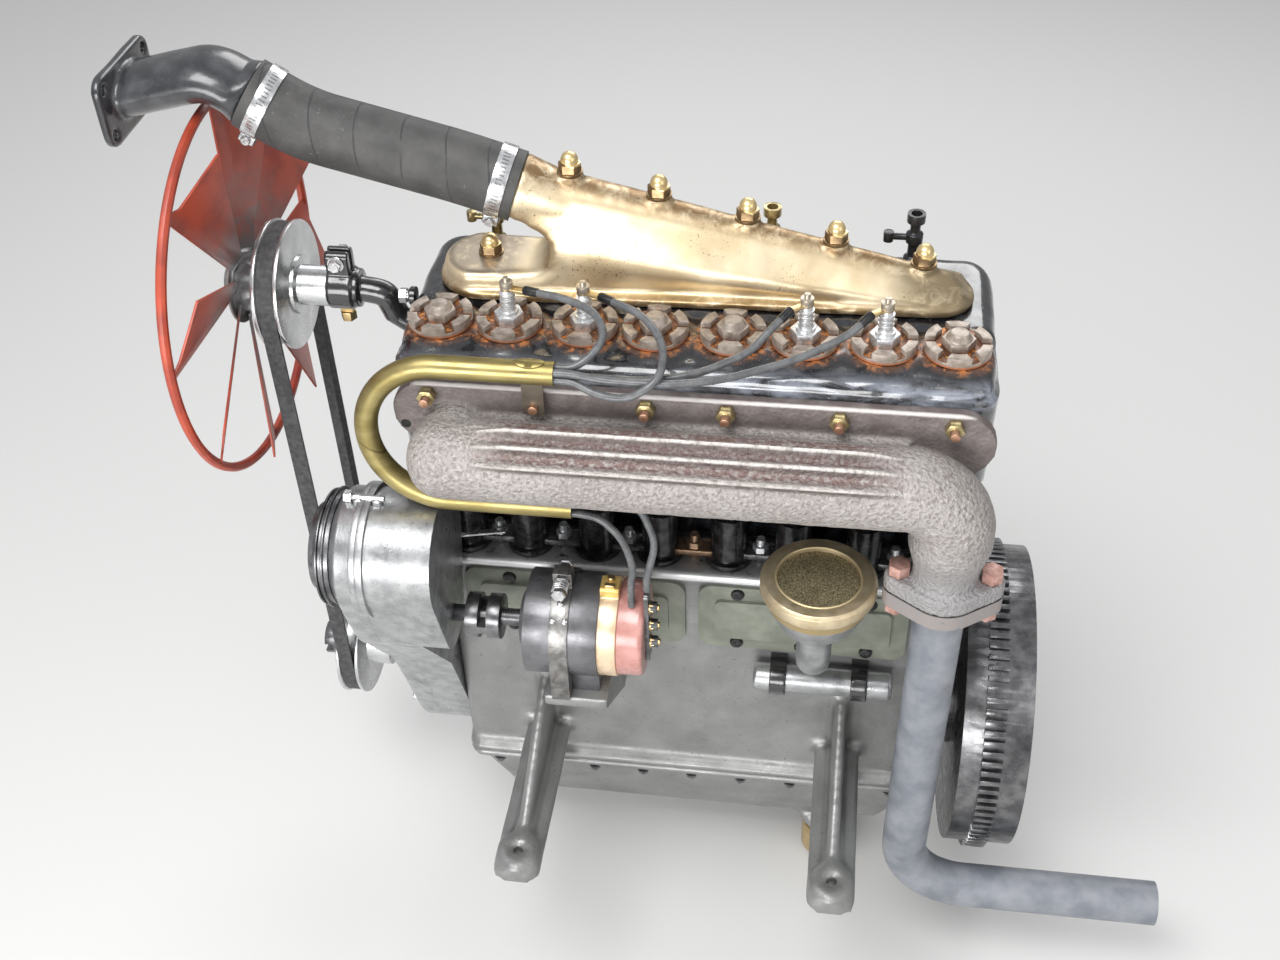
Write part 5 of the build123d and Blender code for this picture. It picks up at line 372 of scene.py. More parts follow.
def manifold_iron():
    """Sand-cast iron: red-brown between the ribs, with painted shade under each crest and a painted
    highlight along it, smoother and darker on the flange plate.
    """
    g = Graph("manifold_iron", (0.272, 0.246, 0.234), 0.12, 0.56)
    g.paint((0.345, 0.318, 0.303), g.span(g.noise(60, 3, 0.5), 0.34, 0.62))
    g.paint((0.215, 0.188, 0.178), g.span(g.noise(3.4, 1, 0.5), 0.50, 0.64, 0.0, 0.8))
    g.paint((0.43, 0.400, 0.378), g.span(g.noise(3.1, 1, 0.5), 0.56, 0.68, 0.0, 0.75))
    # The plate has a painted highlight along its top edge, and a bolt hole painted black as the shade inside
    # it
    plate = g.past("Y", -141.5, -139.5)
    g.paint((0.130, 0.105, 0.100), plate)
    g.paint((0.20, 0.175, 0.165), g.times(plate, g.span(g.noise(16, 5), 0.45, 0.66)))
    plate_edge_highlight = g.times(plate, g.past("Z", 475.5, 477.2), g.past("Y", -136.5, -138.5))
    g.paint((0.62, 0.58, 0.56), plate_edge_highlight)
    g.paint((0.010, 0.010, 0.010), g.times(g.span_mm(g.distance((-240, 0, 434), "XZ"), 4.7, 4.3),
                                           g.past("Y", -138.5, -139.5)))
    side = g.math("SUBTRACT", MANIFOLD_YZ[0] * MM, g.axis("Y"))
    rise = g.math("SUBTRACT", g.axis("Z"), MANIFOLD_YZ[1] * MM)
    angle = g.math("ARCTAN2", side, rise)
    ribbed = g.times(g.past("X", -180, -135), g.past("X", 186, 140), g.span_mm(rise, 6, 12),
                     g.past("Y", -143, -147))

    def by_degrees(value, low, high):
        return g.span(value, math.radians(low), math.radians(high))

    for centre, width in ((-12, 13), (20, 9), (44, 9)):
        off = g.math("ABSOLUTE", g.math("SUBTRACT", angle, math.radians(centre)))
        groove = by_degrees(off, width, width * 0.55)
        g.paint((0.165, 0.108, 0.098), g.times(ribbed, groove, g.span(g.noise(4.5, 4, 0.6), 0.34, 0.56)))
    # Each rib gets painted shade just below its crest and a painted highlight along the crest
    for crest in RIB_DEGREES:
        off = g.math("SUBTRACT", angle, math.radians(crest))
        shade = g.times(by_degrees(off, 1.5, 3.0), by_degrees(off, 9.0, 5.5))
        patchy = g.span(g.noise(14, 4), 0.26, 0.50, 0.35, 0.85)
        g.paint((0.085, 0.062, 0.056), g.times(ribbed, shade, patchy))
        crest_highlight = by_degrees(g.math("ABSOLUTE", off), 3.2, 1.4)
        g.paint((0.60, 0.56, 0.53), g.times(ribbed, crest_highlight, g.span(g.noise(9, 5), 0.30, 0.50)))
    g.paint((0.27, 0.262, 0.262), g.times(g.past("Z", 400, 340), g.past("X", 150, 190)))
    g.bump(g.times(g.noise(3.4, 1, 0.5), g.inverse(g.times(plate, 0.8))), 2.4)


def clip_zinc():
    """Bright zinc with the dark slots of a worm-drive clip."""
    g = mottled("clip_zinc", (0.58, 0.59, 0.60), (0.78, 0.79, 0.80), 0.90, 0.24, grain_mm=5,
                bump_mm=0.03, bump_size=1.0)
    for centre, ahead, down in CLIPS:
        turn = g.math("ARCTAN2", g.along(centre, (0, 1, 0)), g.along(centre, down))
        from_slot = g.row(g.times(turn, 32 * MM), 3.6)
        from_mid = g.math("ABSOLUTE", g.along(centre, ahead))
        here = g.span_mm(g.distance(centre, "XZ"), 62, 60)
        g.paint((0.30, 0.30, 0.305), g.times(here, g.span_mm(from_slot, 0.8, 0.5),
                                             g.span_mm(from_mid, 3.0, 2.7)))


def hose_rubber():
    """Rubber with the seams of its wrapping, a chalky bloom and a cloth grain."""
    g = Graph("hose_rubber", (0.042, 0.041, 0.040), 0.0, 0.60)
    g.paint((0.074, 0.072, 0.070), g.span(g.noise(30, 5, 0.6), 0.38, 0.66))
    g.paint((0.19, 0.188, 0.185), g.times(g.span(g.noise(3.2, 6, 0.7), 0.62, 0.70),
                                          g.span(g.noise(55, 3), 0.48, 0.60)))
    tilt = g.math("ADD", g.axis("X"), g.times(g.axis("Z"), 0.10))
    tilt = g.math("ADD", tilt, g.times(g.noise(70, 2), 12 * MM))
    seam = g.times(g.span_mm(g.row(tilt, 36), 0.9, 0.3), g.span(g.noise(18, 3), 0.30, 0.55))
    g.paint((0.018, 0.018, 0.019), g.times(seam, 0.7))
    g.bump(g.inverse(seam), 0.3)
    g.bump(g.noise(1.1, 3), 0.12)
    g.bump(g.noise(1.6, 2, stretch=(4, 0.4, 0.4)), 0.10)


def paints():
    """The painted pieces: side covers, fan, bracket, elbow, exhaust pipe, screws and breather bowl."""
    g = mottled("cover_paint", (0.150, 0.163, 0.128), (0.215, 0.228, 0.185), 0.0, 0.42, grain_mm=24,
                bump_mm=0.12, bump_size=3.0, grime=(0.035, 0.040, 0.030), grime_share=(0.58, 0.74))
    # Lighter along the convex edges: partly worn paint, partly a painted highlight on the raised panel edges
    worn_and_lit_edge = g.times(g.span(g.surface("Pointiness"), 0.53, 0.58), g.span(g.noise(14, 4), 0.4, 0.6))
    g.paint((0.28, 0.285, 0.25), worn_and_lit_edge)

    g = Graph("fan_red", (0.43, 0.066, 0.031), 0.0, 0.38)
    g.paint((0.27, 0.040, 0.024), g.span(g.noise(30, 5), 0.42, 0.66))
    from_axis = g.distance(FAN_AXIS, "YZ")
    patch = g.math("ADD", g.span(g.noise(24, 5, 0.6, 0.8), 0.35, 0.70), 0.25)
    g.paint((0.17, 0.150, 0.145), g.times(g.span_mm(from_axis, 125, 45), patch))
    g.paint((0.14, 0.135, 0.13), g.span_mm(from_axis, 48, 36))
    hub = g.span_mm(from_axis, 31.5, 30.5)
    g.paint((0.52, 0.525, 0.53), hub)
    g.set("Metallic", g.times(hub, 0.85))

    g = Graph("bracket_black", (0.012, 0.012, 0.013), 0.0, 0.26, Coat_Weight=0.9, Coat_Roughness=0.10)
    g.bump(g.noise(6, 5), 0.5)

    g = Graph("elbow_grey", (0.020, 0.021, 0.024), 0.0, 0.30, Coat_Weight=0.6, Coat_Roughness=0.18)
    g.paint((0.055, 0.057, 0.062), g.span(g.noise(20, 5), 0.42, 0.68))
    g.bump(g.noise(5, 5), 0.35)

    # The pipe's flange is as brown as the manifold, with a dark joint above it
    g = mottled("pipe_grey", (0.165, 0.180, 0.205), (0.245, 0.255, 0.280), 0.1, 0.46, grain_mm=26,
                bump_mm=0.05, bump_size=3.0, grime=(0.12, 0.105, 0.10), grime_share=(0.64, 0.78))
    flange = g.past("Z", 299.5, 300.5)
    g.paint((0.255, 0.228, 0.218), g.times(flange, g.span(g.noise(5, 4), 0.30, 0.45)))
    g.paint((0.06, 0.052, 0.048), g.past("Z", 316.9, 317.4))

    mottled("screw_black", (0.012, 0.012, 0.013), (0.03, 0.03, 0.031), 0.3, 0.32, grain_mm=6)

    g = mottled("bowl_grey", (0.19, 0.195, 0.195), (0.33, 0.335, 0.335), 0.55, 0.42, grain_mm=20,
                bump_mm=0.15, bump_size=3.0, grime=(0.08, 0.085, 0.07), grime_share=(0.58, 0.74))
    g.paint((0.38, 0.285, 0.14), g.past("Z", 286.8, 287.8))


def steels():
    """Steel and copper: plugs, strap, bolts, tappets, springs, yokes and flywheel."""
    g = Graph("plug_steel", (0.56, 0.57, 0.58), 0.70, 0.36)
    g.paint((0.78, 0.79, 0.80), g.span(g.noise(3, 4), 0.4, 0.6))
    g.paint((0.44, 0.39, 0.32), g.past("Z", 535.2, 535.8))

    mottled("strap_steel", (0.16, 0.155, 0.15), (0.30, 0.295, 0.285), 0.85, 0.34, grain_mm=9,
            bump_mm=0.08, grime=(0.12, 0.075, 0.045), grime_share=(0.56, 0.68))
    mottled("bright_steel", (0.55, 0.55, 0.56), (0.75, 0.75, 0.76), 0.92, 0.24, grain_mm=6)
    mottled("tappet_black", (0.014, 0.014, 0.015), (0.05, 0.05, 0.052), 0.6, 0.22, grain_mm=10,
            bump_mm=0.1, bump_size=3.0)
    mottled("spring_steel", (0.13, 0.13, 0.13), (0.26, 0.255, 0.25), 0.85, 0.34, grain_mm=8,
            bump_mm=0.05, grime=(0.30, 0.17, 0.09), grime_share=(0.60, 0.70))
    mottled("dark_steel", (0.11, 0.11, 0.115), (0.22, 0.22, 0.225), 0.9, 0.30, grain_mm=14,
            bump_mm=0.05, grime=(0.05, 0.045, 0.04), grime_share=(0.6, 0.75))
    mottled("copper_bolt", (0.42, 0.225, 0.185), (0.58, 0.36, 0.31), 0.45, 0.42, grain_mm=5,
            bump_mm=0.1, bump_size=1.5)

    # The middle yoke is rusty, and every yoke's nut is bright
    g = mottled("yoke_steel", (0.10, 0.10, 0.102), (0.24, 0.238, 0.235), 0.80, 0.30, grain_mm=7,
                bump_mm=0.06)
    g.paint((0.52, 0.53, 0.54), g.past("Z", 255.3, 255.8))
    g.paint((0.30, 0.195, 0.125), g.span_mm(g.math("ABSOLUTE", g.axis("X")), 24, 21))


def aluminium():
    g = mottled("bright_aluminium", (0.33, 0.335, 0.34), (0.46, 0.465, 0.47), 0.80, 0.34, grain_mm=14,
                bump_mm=0.15, bump_size=1.5, grime=(0.17, 0.172, 0.175), grime_share=(0.56, 0.76))
    g.paint((0.12, 0.122, 0.125), g.span(g.noise(1.8, 3), 0.66, 0.71))
    mottled("machined_aluminium", (0.56, 0.565, 0.57), (0.68, 0.685, 0.69), 0.95, 0.28, grain_mm=30,
            bump_mm=0.04)


def brasses():
    """The brass and bronze pieces apart from the water outlet."""
    mottled("brass", (0.50, 0.365, 0.175), (0.63, 0.48, 0.25), 0.93, 0.31, grain_mm=16,
            bump_mm=0.03, grime=(0.30, 0.20, 0.10), grime_share=(0.60, 0.80))

    # The lead tube, with its joint in the bend and its dull strap
    g = Graph("tube_brass", (0.255, 0.203, 0.074), 0.82, 0.38)
    g.paint((0.36, 0.296, 0.126), g.span(g.noise(16, 4, stretch=(0.25, 1, 1)), 0.4, 0.62))
    g.paint((0.24, 0.185, 0.075), g.span(g.noise(7, 7, 0.7), 0.63, 0.72))
    from_joint = g.math("ABSOLUTE", g.along((-240, -160, 410), (0.60, 0, 0.80)))
    g.paint((0.16, 0.12, 0.045), g.times(g.span_mm(from_joint, 0.9, 0.4), g.past("X", -225, -230)))
    from_strap = g.math("ABSOLUTE", g.math("SUBTRACT", g.axis("X"), CONDUIT_STRAP_X * MM))
    strap = g.times(g.past("Z", 498.5, 497.5), g.past("Z", 440, 441), g.span_mm(from_strap, 10.5, 9.5))
    g.paint((0.20, 0.170, 0.135), strap)
    g.set("Roughness", g.span(g.noise(20, 4), 0.3, 0.7, 0.28, 0.46))

    # Dome nuts, polished over their hexagons
    g = mottled("nut_bronze", (0.19, 0.125, 0.065), (0.28, 0.19, 0.10), 0.85, 0.32, grain_mm=7,
                bump_mm=0.04)
    first_dome = g.times(g.past("Z", 528.8, 529.8), g.past("X", -165, -170))
    ridge_domes = g.span_mm(g.ridge_height(), 584.6, 585.6)
    g.paint((0.80, 0.62, 0.32), g.math("MAXIMUM", first_dome, ridge_domes))

    # Manifold nuts on copper-coloured studs, with one bright nut at the tube's strap
    g = mottled("nut_olive", (0.34, 0.27, 0.13), (0.50, 0.42, 0.23), 0.9, 0.32, grain_mm=5, bump_mm=0.04)
    g.paint((0.52, 0.30, 0.20), g.past("Y", -148.5, -149.2))
    by_strap = g.span_mm(g.distance((CONDUIT_STRAP_X, 0, MANIFOLD_STUD_Z), "XZ"), 12, 11)
    g.paint((0.66, 0.67, 0.68), g.times(by_strap, g.past("Y", -149.2, -148.5)))

    # Priming taps, the rearmost one black
    g = mottled("tap_brass", (0.30, 0.235, 0.115), (0.46, 0.375, 0.205), 0.88, 0.30, grain_mm=6,
                bump_mm=0.04)
    g.paint((0.022, 0.022, 0.024), g.past("X", 140, 141))
    g.set("Metallic", g.past("X", 140, 141, 0.88, 0.2))

    # The breather's ring, bright on its inner rim
    g = mottled("breather_brass", (0.52, 0.42, 0.265), (0.68, 0.57, 0.385), 0.78, 0.40, grain_mm=16,
                bump_mm=0.05, grime=(0.20, 0.15, 0.085), grime_share=(0.60, 0.76))
    rim = g.span_mm(g.distance((*BREATHER_XY, 0), "XY"), 38.5, 37.5)
    g.paint((0.85, 0.70, 0.42), g.times(rim, g.past("Z", 312, 312.5)))

    g = Graph("gauze_bronze", (0.135, 0.112, 0.066), 0.5, 0.5)
    weave = g.math("MAXIMUM", *(g.span_mm(g.row(g.axis(axis), 1.3), 0.35, 0.2) for axis in "XY"))
    g.paint((0.40, 0.335, 0.195), g.times(weave, g.span(g.noise(1.8, 3), 0.38, 0.54)))
    g.paint((0.66, 0.58, 0.37), g.span(g.noise(1.4, 2), 0.60, 0.68))
    g.paint((0.065, 0.054, 0.034), g.span(g.noise(40, 3), 0.54, 0.76, 0.0, 0.6))
    g.bump(g.noise(1.3, 2), 0.5)


def magneto_finishes():
    g = mottled("magneto_dark", (0.120, 0.120, 0.126), (0.19, 0.19, 0.20), 0.70, 0.34, grain_mm=22,
                bump_mm=0.08, grime=(0.055, 0.052, 0.050), grime_share=(0.60, 0.80))
    g.bump(g.noise(3.0, 3, stretch=(0.2, 1, 1)), 0.12)
    mottled("magneto_red", (0.41, 0.185, 0.160), (0.52, 0.265, 0.235), 0.0, 0.28, grain_mm=16,
            bump_mm=0.03, grime=(0.24, 0.09, 0.07), grime_share=(0.6, 0.75),
            Coat_Weight=0.4, Coat_Roughness=0.15)
    # The ring is pale, with a yellow terminal block on its rim
    g = mottled("ring_brass", (0.68, 0.50, 0.33), (0.80, 0.63, 0.45), 0.55, 0.32, grain_mm=14, bump_mm=0.03)
    g.paint((0.72, 0.50, 0.17), g.span_mm(g.distance((0, *MAGNETO_YZ), "YZ"), 46.8, 47.5))


def rubbers():
    mottled("belt_rubber", (0.032, 0.032, 0.034), (0.066, 0.066, 0.068), 0.0, 0.62, grain_mm=5,
            bump_mm=0.15, bump_size=1.2)
    mottled("lead_rubber", (0.088, 0.090, 0.094), (0.135, 0.138, 0.142), 0.0, 0.26, grain_mm=9,
            bump_mm=0.02, bump_size=1.0)


for make in (crankcase_aluminium, block_paint, cap_steel, outlet_brass, manifold_iron, clip_zinc,
             hose_rubber, paints, steels, aluminium, brasses, magneto_finishes, rubbers):
    make()

# Nodes that look other than their slot's plain material
OWN_MATERIAL = {
    "water_outlet": "outlet_brass",
    "dome_nuts": "nut_bronze",
    "manifold_nuts": "nut_olive",
    "breather_ring": "breather_brass",
    "breather_bowl": "bowl_grey",
    "magneto_ring": "ring_brass",
    "magneto_strap": "strap_steel",
    "tappet_clamps": "yoke_steel",
    "priming_taps": "tap_brass",
}


def added(name, data):
    """A new object in the scene, for a mesh, a camera or a lamp."""
    obj = bpy.data.objects.new(name, data)
    bpy.context.scene.collection.objects.link(obj)
    return obj


def new_piece(name, mesh, material, body, replaced=()):
    """Shows a mesh as one piece, which moves with a body and may replace CAD nodes."""
    obj = added(name, mesh)
    mesh.materials.clear()
    mesh.materials.append(materials[material])
    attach(obj, body)
    if replaced:
        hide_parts(*replaced)


def node_look(node, mesh):
    """The piece shown for a CAD node, in the node's own body, with its slot's material unless it has its
    own.
    """
    slot = node_slot[node]
    new_piece(node + "_look", mesh, OWN_MATERIAL.get(node, slot), node_body[node], [node])


@contextlib.contextmanager
def editing(mesh):
    """Gives the mesh as a BMesh to change, and puts the changes back."""
    work = bmesh.new()
    work.from_mesh(mesh)
    yield work
    work.to_mesh(mesh)
    work.free()


def merged_copy(node, flat=True):
    """A copy of a CAD node's mesh with its shared edges joined and its flat faces whole."""
    mesh = nodes[node].data.copy()
    with editing(mesh) as work:
        bmesh.ops.remove_doubles(work, verts=work.verts, dist=0.002 * MM)
        if flat:
            bmesh.ops.dissolve_limit(work, angle_limit=math.radians(0.6), verts=work.verts, edges=work.edges)
    if "custom_normal" in mesh.attributes:
        mesh.attributes.remove(mesh.attributes["custom_normal"])
    return mesh


def baked(mesh, *modifiers):
    """The mesh after these modifiers, each a (type, settings) pair."""
    holder = added("holder", mesh)
    for kind, settings in modifiers:
        modifier = holder.modifiers.new(kind, kind)
        for key, value in settings.items():
            setattr(modifier, key, value)
    shape = holder.evaluated_get(bpy.context.evaluated_depsgraph_get())
    result = bpy.data.meshes.new_from_object(shape)
    bpy.data.objects.remove(holder)
    return result


def smooth(mesh, degrees=35):
    """Smooth shading, but sharp where two faces meet at more than this angle."""
    mesh.polygons.foreach_set("use_smooth", [True] * len(mesh.polygons))
    mesh.set_sharp_from_angle(angle=math.radians(degrees))


def machined(node, width_mm, flat=True):
    """A node's own shape with its edges slightly rounded off."""
    mesh = merged_copy(node, flat)
    if width_mm:
        mesh = baked(mesh, ("BEVEL", dict(width=width_mm * MM, segments=2, limit_method="ANGLE",
                                          angle_limit=math.radians(40), harden_normals=False)))
    smooth(mesh)
    node_look(node, mesh)


def clamped(value, low=0.0, high=1.0):
    return min(max(value, low), high)


def block_shape(spot, normal):
    """The block's top dips between its valve caps, so that each sits on a boss."""
    boss_radius, boss_slope, dip = 31.5, 9.0, 3.6
    if spot.z < BLOCK_TOP_Z - 19 or spot.y > VALVE_Y + 31:
        return spot
    reach = min(math.hypot(spot.x - valve_x, spot.y - VALVE_Y) for valve_x in VALVES_X)
    return spot - normal * dip * clamped((reach - boss_radius) / boss_slope)


def rib_shape(spot, normal):
    """The manifold's ribs come to sharp crests, and run out towards both ends."""
    root_radius, rib_height, half_width, end_length = 34.0, 7.6, 11.5, 30.0
    first_x, last_x = RIBS_X
    centre_y, centre_z = MANIFOLD_YZ
    side, rise = centre_y - spot.y, spot.z - centre_z
    angle = math.degrees(math.atan2(side, rise))
    reach = math.hypot(side, rise)
    if not (first_x - 3 < spot.x < last_x + 4 and -3 < angle < 68 and 33.5 < reach < 44):
        return spot
    run_out = clamped(min(spot.x - first_x, last_x - spot.x) / end_length) ** 0.6
    crest = max(max(1 - abs(angle - rib) / half_width, 0.0) for rib in RIB_DEGREES) ** 1.5
    scale = (root_radius + rib_height * crest * run_out) / reach
    return Vector((spot.x, centre_y - side * scale, centre_z + rise * scale))


def calmed(mesh, centre, reach, passes):
    """Smooths the mesh once more, but only near a place."""
    with editing(mesh) as work:
        near = [v for v in work.verts if (v.co / MM - Vector(centre)).length < reach]
        for _ in range(passes):
            bmesh.ops.smooth_vert(work, verts=near, factor=0.5,
                                  use_axis_x=True, use_axis_y=True, use_axis_z=True)


def cast(node, voxel_mm, passes, lump_mm, lump_size_mm, shape=None, calm=None):
    """A node as a rough casting: its edges run together, and its faces are a little uneven."""
    mesh = baked(merged_copy(node),
                 ("REMESH", dict(mode="VOXEL", voxel_size=voxel_mm * MM, use_smooth_shade=True)),
                 ("SMOOTH", dict(factor=0.5, iterations=passes)))
    if calm:
        calmed(mesh, **calm)
    low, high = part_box(node)
    spots = []
    for vertex in mesh.vertices:
        swell = (noise.noise(vertex.co / (lump_size_mm * MM)) - 0.3) * lump_mm
        spot = shape(vertex.co / MM, vertex.normal) * MM if shape else vertex.co
        spot = spot + vertex.normal * (swell * MM)
        spots += [clamped(c, a, b) for c, a, b in zip(spot, low, high)]
    mesh.vertices.foreach_set("co", spots)
    mesh.update()
    smooth(mesh, 60)
    node_look(node, mesh)


# The water outlet is calmed round the notch behind its first stud
CASTINGS = {
    "cylinder_block": dict(voxel_mm=3.3, passes=4, lump_mm=1.0, lump_size_mm=26.0, shape=block_shape),
    "exhaust_manifold": dict(voxel_mm=1.75, passes=2, lump_mm=0.35, lump_size_mm=8.0, shape=rib_shape),
    "water_outlet": dict(voxel_mm=2.0, passes=11, lump_mm=0.5, lump_size_mm=32.0,
                         calm=dict(centre=(-148, -14, 542), reach=38, passes=38)),
    "radiator_elbow": dict(voxel_mm=1.8, passes=6, lump_mm=0.4, lump_size_mm=20.0),
    "fan_bracket": dict(voxel_mm=1.3, passes=5, lump_mm=0.3, lump_size_mm=12.0),
    "breather_bowl": dict(voxel_mm=1.6, passes=4, lump_mm=0.2, lump_size_mm=20.0),
    "crankcase": dict(voxel_mm=4.6, passes=2, lump_mm=0.4, lump_size_mm=25.0),
    "sump": dict(voxel_mm=5.2, passes=2, lump_mm=0.4, lump_size_mm=25.0),
    "inlet_pipe": dict(voxel_mm=2.0, passes=6, lump_mm=0.3, lump_size_mm=15.0),
    "carburettor": dict(voxel_mm=2.1, passes=2, lump_mm=0.2, lump_size_mm=15.0),
    "water_pump": dict(voxel_mm=1.8, passes=4, lump_mm=0.3, lump_size_mm=15.0),
    "magneto_platform": dict(voxel_mm=2.0, passes=2, lump_mm=0.2, lump_size_mm=15.0),
    "oil_rail_clamps": dict(voxel_mm=1.0, passes=2, lump_mm=0.1, lump_size_mm=8.0),
}
# How far the edges of the machined nodes are rounded, in millimetres
COMMON_EDGE = 0.5
EDGES = {
    "flywheel": 0.4, "cap_plugs": 0.7, "valve_caps": 0.9,
    "timing_case": 1.2, "timing_cover": 1.2, "crankcase_covers": 1.2,
    "plug_leads": 0, "magneto_leads": 0, "lead_conduit": 0, "radiator_hose": 0, "exhaust_pipe": 0,
    "pump_pipe": 0, "fan_belt": 0, "breather_gauze": 0,
}
# The belt keeps its own faces, because a joined one would span its loop. The springs follow as coils.
for node in nodes:
    if node in CASTINGS:
        cast(node, **CASTINGS[node])
    elif node != "valve_springs":
        machined(node, EDGES.get(node, COMMON_EDGE), flat=node != "fan_belt")


NEAR, FAR = (0, -1, 0), (0, 1, 0)
FRONT, REAR = (-1, 0, 0), (1, 0, 0)
UP, LOW = (0, 0, 1), (0, 0, -1)


def facing(x, y, z, direction=UP):
    """A place in millimetres whose own Z axis points along a direction."""
    return Matrix.Translation((x, y, z)) @ Vector(direction).to_track_quat("Z", "Y").to_matrix().to_4x4()


def shifted(place, x=0.0, y=0.0, z=0.0):
    """A place moved along its own axes."""
    return place @ Matrix.Translation((x, y, z))


def rotated(place, turn):
    """A place turned round its own Z axis."""
    return place @ Matrix.Rotation(turn, 4, "Z")


def full_turn(count, start=0.0):
    """Evenly spaced angles all the way round."""
    return [2 * math.pi * i / count + start for i in range(count)]


def wheel_spot(centre, radius, turn):
    """A point on a circle, by its angle from the second axis."""
    return centre[0] + radius * math.sin(turn), centre[1] + radius * math.cos(turn)


class Bits:
    """Small turned, hexagonal and boxed forms in millimetres, collected into one piece."""

    def __init__(self):
        self.verts = []
        self.faces = []

    def rings(self, place, rings):
        """Joins rings of points, each given in the place's own axes, and closes both ends."""
        base = len(self.verts)
        count = len(rings[0])
        for ring in rings:
            self.verts += [(place @ Vector(point)) * MM for point in ring]
        for i in range(len(rings) - 1):
            for j in range(count):
                k = (j + 1) % count
                low, high = base + i * count, base + (i + 1) * count
                self.faces.append((low + j, low + k, high + k, high + j))
        self.faces.append(tuple(base + j for j in reversed(range(count))))
        last = base + (len(rings) - 1) * count
        self.faces.append(tuple(last + j for j in range(count)))

    def turned(self, place, profile, sides=24, start=0.0):
        """A turned form from (radius, height) pairs up its axis."""
        turns = full_turn(sides, start)
        self.rings(place, [[(r * math.cos(a), r * math.sin(a), h) for a in turns] for r, h in profile])

    def hexagon(self, place, across_flats, height, chamfer=0.9, start=0.0):
        corner = across_flats / math.sqrt(3)
        profile = [(corner, 0), (corner, height - chamfer), (corner - chamfer * 1.3, height)]
        self.turned(place, profile, 6, start)

    def bolt(self, place, across_flats, height, start=0.2):
        """A hexagon head on its washer, with a low turned face."""
        washer_radius, washer_height = across_flats * 0.675, 1.2
        self.turned(place, [(washer_radius, 0), (washer_radius, washer_height)])
        head = shifted(place, z=washer_height)
        self.hexagon(head, across_flats, height, 0.8, start)
        self.turned(shifted(head, z=height), [(across_flats * 0.40, -0.2), (across_flats * 0.36, 0.5)])

    def box(self, place, size, bevel=0.5):
        """A box with its corners cut, centred on the place."""
        a, b, c = (s / 2 for s in size)

        def outline(inset, height):
            u, v, e = a - inset, b - inset, bevel
            return [(u, -v + e, height), (u, v - e, height), (u - e, v, height), (-u + e, v, height),
                    (-u, v - e, height), (-u, -v + e, height), (-u + e, -v, height), (u - e, -v, height)]

        self.rings(place, [outline(bevel, -c), outline(0, bevel - c),
                           outline(0, c - bevel), outline(bevel, c)])

    def tube(self, points, radii, sides=10):
        """A round rod through points, with one radius, or a list of one for each point."""
        points = [Vector(point) for point in points]
        last = len(points) - 1
        if not isinstance(radii, list):
            radii = [radii] * len(points)
        across = None
        rings = []
        for i, (point, radius) in enumerate(zip(points, radii)):
            ahead = (points[min(i + 1, last)] - points[max(i - 1, 0)]).normalized()
            if across is None:
                across = ahead.orthogonal().normalized()
            across = (across - ahead * across.dot(ahead)).normalized()
            other = ahead.cross(across)
            rings.append([point + (across * math.cos(a) + other * math.sin(a)) * radius
                          for a in full_turn(sides)])
        self.rings(Matrix.Identity(4), rings)

    def coil(self, place, radius, wire, low, high, turns, steps=20):
        """A spring of round wire round the place's own axis."""
        points = []
        for i in range(int(turns * steps) + 1):
            angle = 2 * math.pi * i / steps
            height = low + (high - low) * i / (turns * steps)
            points.append(place @ Vector((radius * math.cos(angle), radius * math.sin(angle), height)))
        self.tube(points, wire, 8)

    def piece(self, name, material, slot, replaced=()):
        """Shows all that was collected as one piece."""
        mesh = bpy.data.meshes.new(name)
        mesh.from_pydata(self.verts, [], self.faces)
        with editing(mesh) as work:
            bmesh.ops.recalc_face_normals(work, faces=work.faces)
        smooth(mesh, 32)
        new_piece(name, mesh, material, "root", replaced)


# Valve springs of round wire between the lower seats and the block
springs = Bits()
for x in VALVES_X:
    springs.coil(facing(x, VALVE_Y, 0), radius=12.3, wire=1.6, low=323.7, high=383.3, turns=8.5)
springs.piece("valve_springs_look", "spring_steel", slot=node_slot["valve_springs"],
              replaced=["valve_springs"])

# Black domed screws in the side covers, each with two crossed bars on its head
screws = Bits()
for x, z in COVER_SCREWS_XZ:
    place = facing(x, COVER_FACE_Y, z, NEAR)
    screws.turned(place, [(6.4, 0), (6.4, 1.6), (5.6, 3.0), (3.6, 3.8), (0.4, 4.0)])
    for turn in (0.6, 0.6 + math.pi / 2):
        screws.box(shifted(rotated(place, turn), z=3.4), size=(8.6, 1.3, 1.6), bevel=0.3)
screws.piece("cover_screws", "screw_black", slot="bracket_black")

# Bright hexagon bolts: timing lobe's long bolt, block, fan bracket and timing cover
bolts = Bits()
bolts.tube([(x, *LONG_BOLT_YZ) for x in (-292, -262)], radii=2.9, sides=14)
bolts.hexagon(facing(-291, *LONG_BOLT_YZ, FRONT), across_flats=10.5, height=7.0)
bolts.turned(facing(-290.2, *LONG_BOLT_YZ, FRONT), [(6.6, 0), (6.6, 1.2)])
bolts.tube([(x, *BLOCK_BOLT_YZ) for x in (-255, -262)], radii=4.0, sides=14)
bolts.hexagon(facing(-260, *BLOCK_BOLT_YZ, FRONT), across_flats=12, height=7.0, start=0.3)
x, z = BRACKET_BOLT_XZ
bolts.bolt(facing(x, -10, z, NEAR), across_flats=11, height=5.5)
bolts.hexagon(facing(x, 10, z, FAR), across_flats=11, height=6.0)
for turn in full_turn(3, 0.25):
    y, z = wheel_spot(BRACKET_FLANGE_YZ, 19.5, turn)
    bolts.bolt(facing(BRACKET_FLANGE_X, y, z, FRONT), across_flats=9, height=4.5)
for y, z in TIMING_BOLTS_YZ:
    bolts.bolt(facing(TIMING_COVER_X, y, z, FRONT), across_flats=9, height=5.0, start=0.1 * y)
bolts.piece("case_bolts", "bright_steel", slot="clip_zinc")

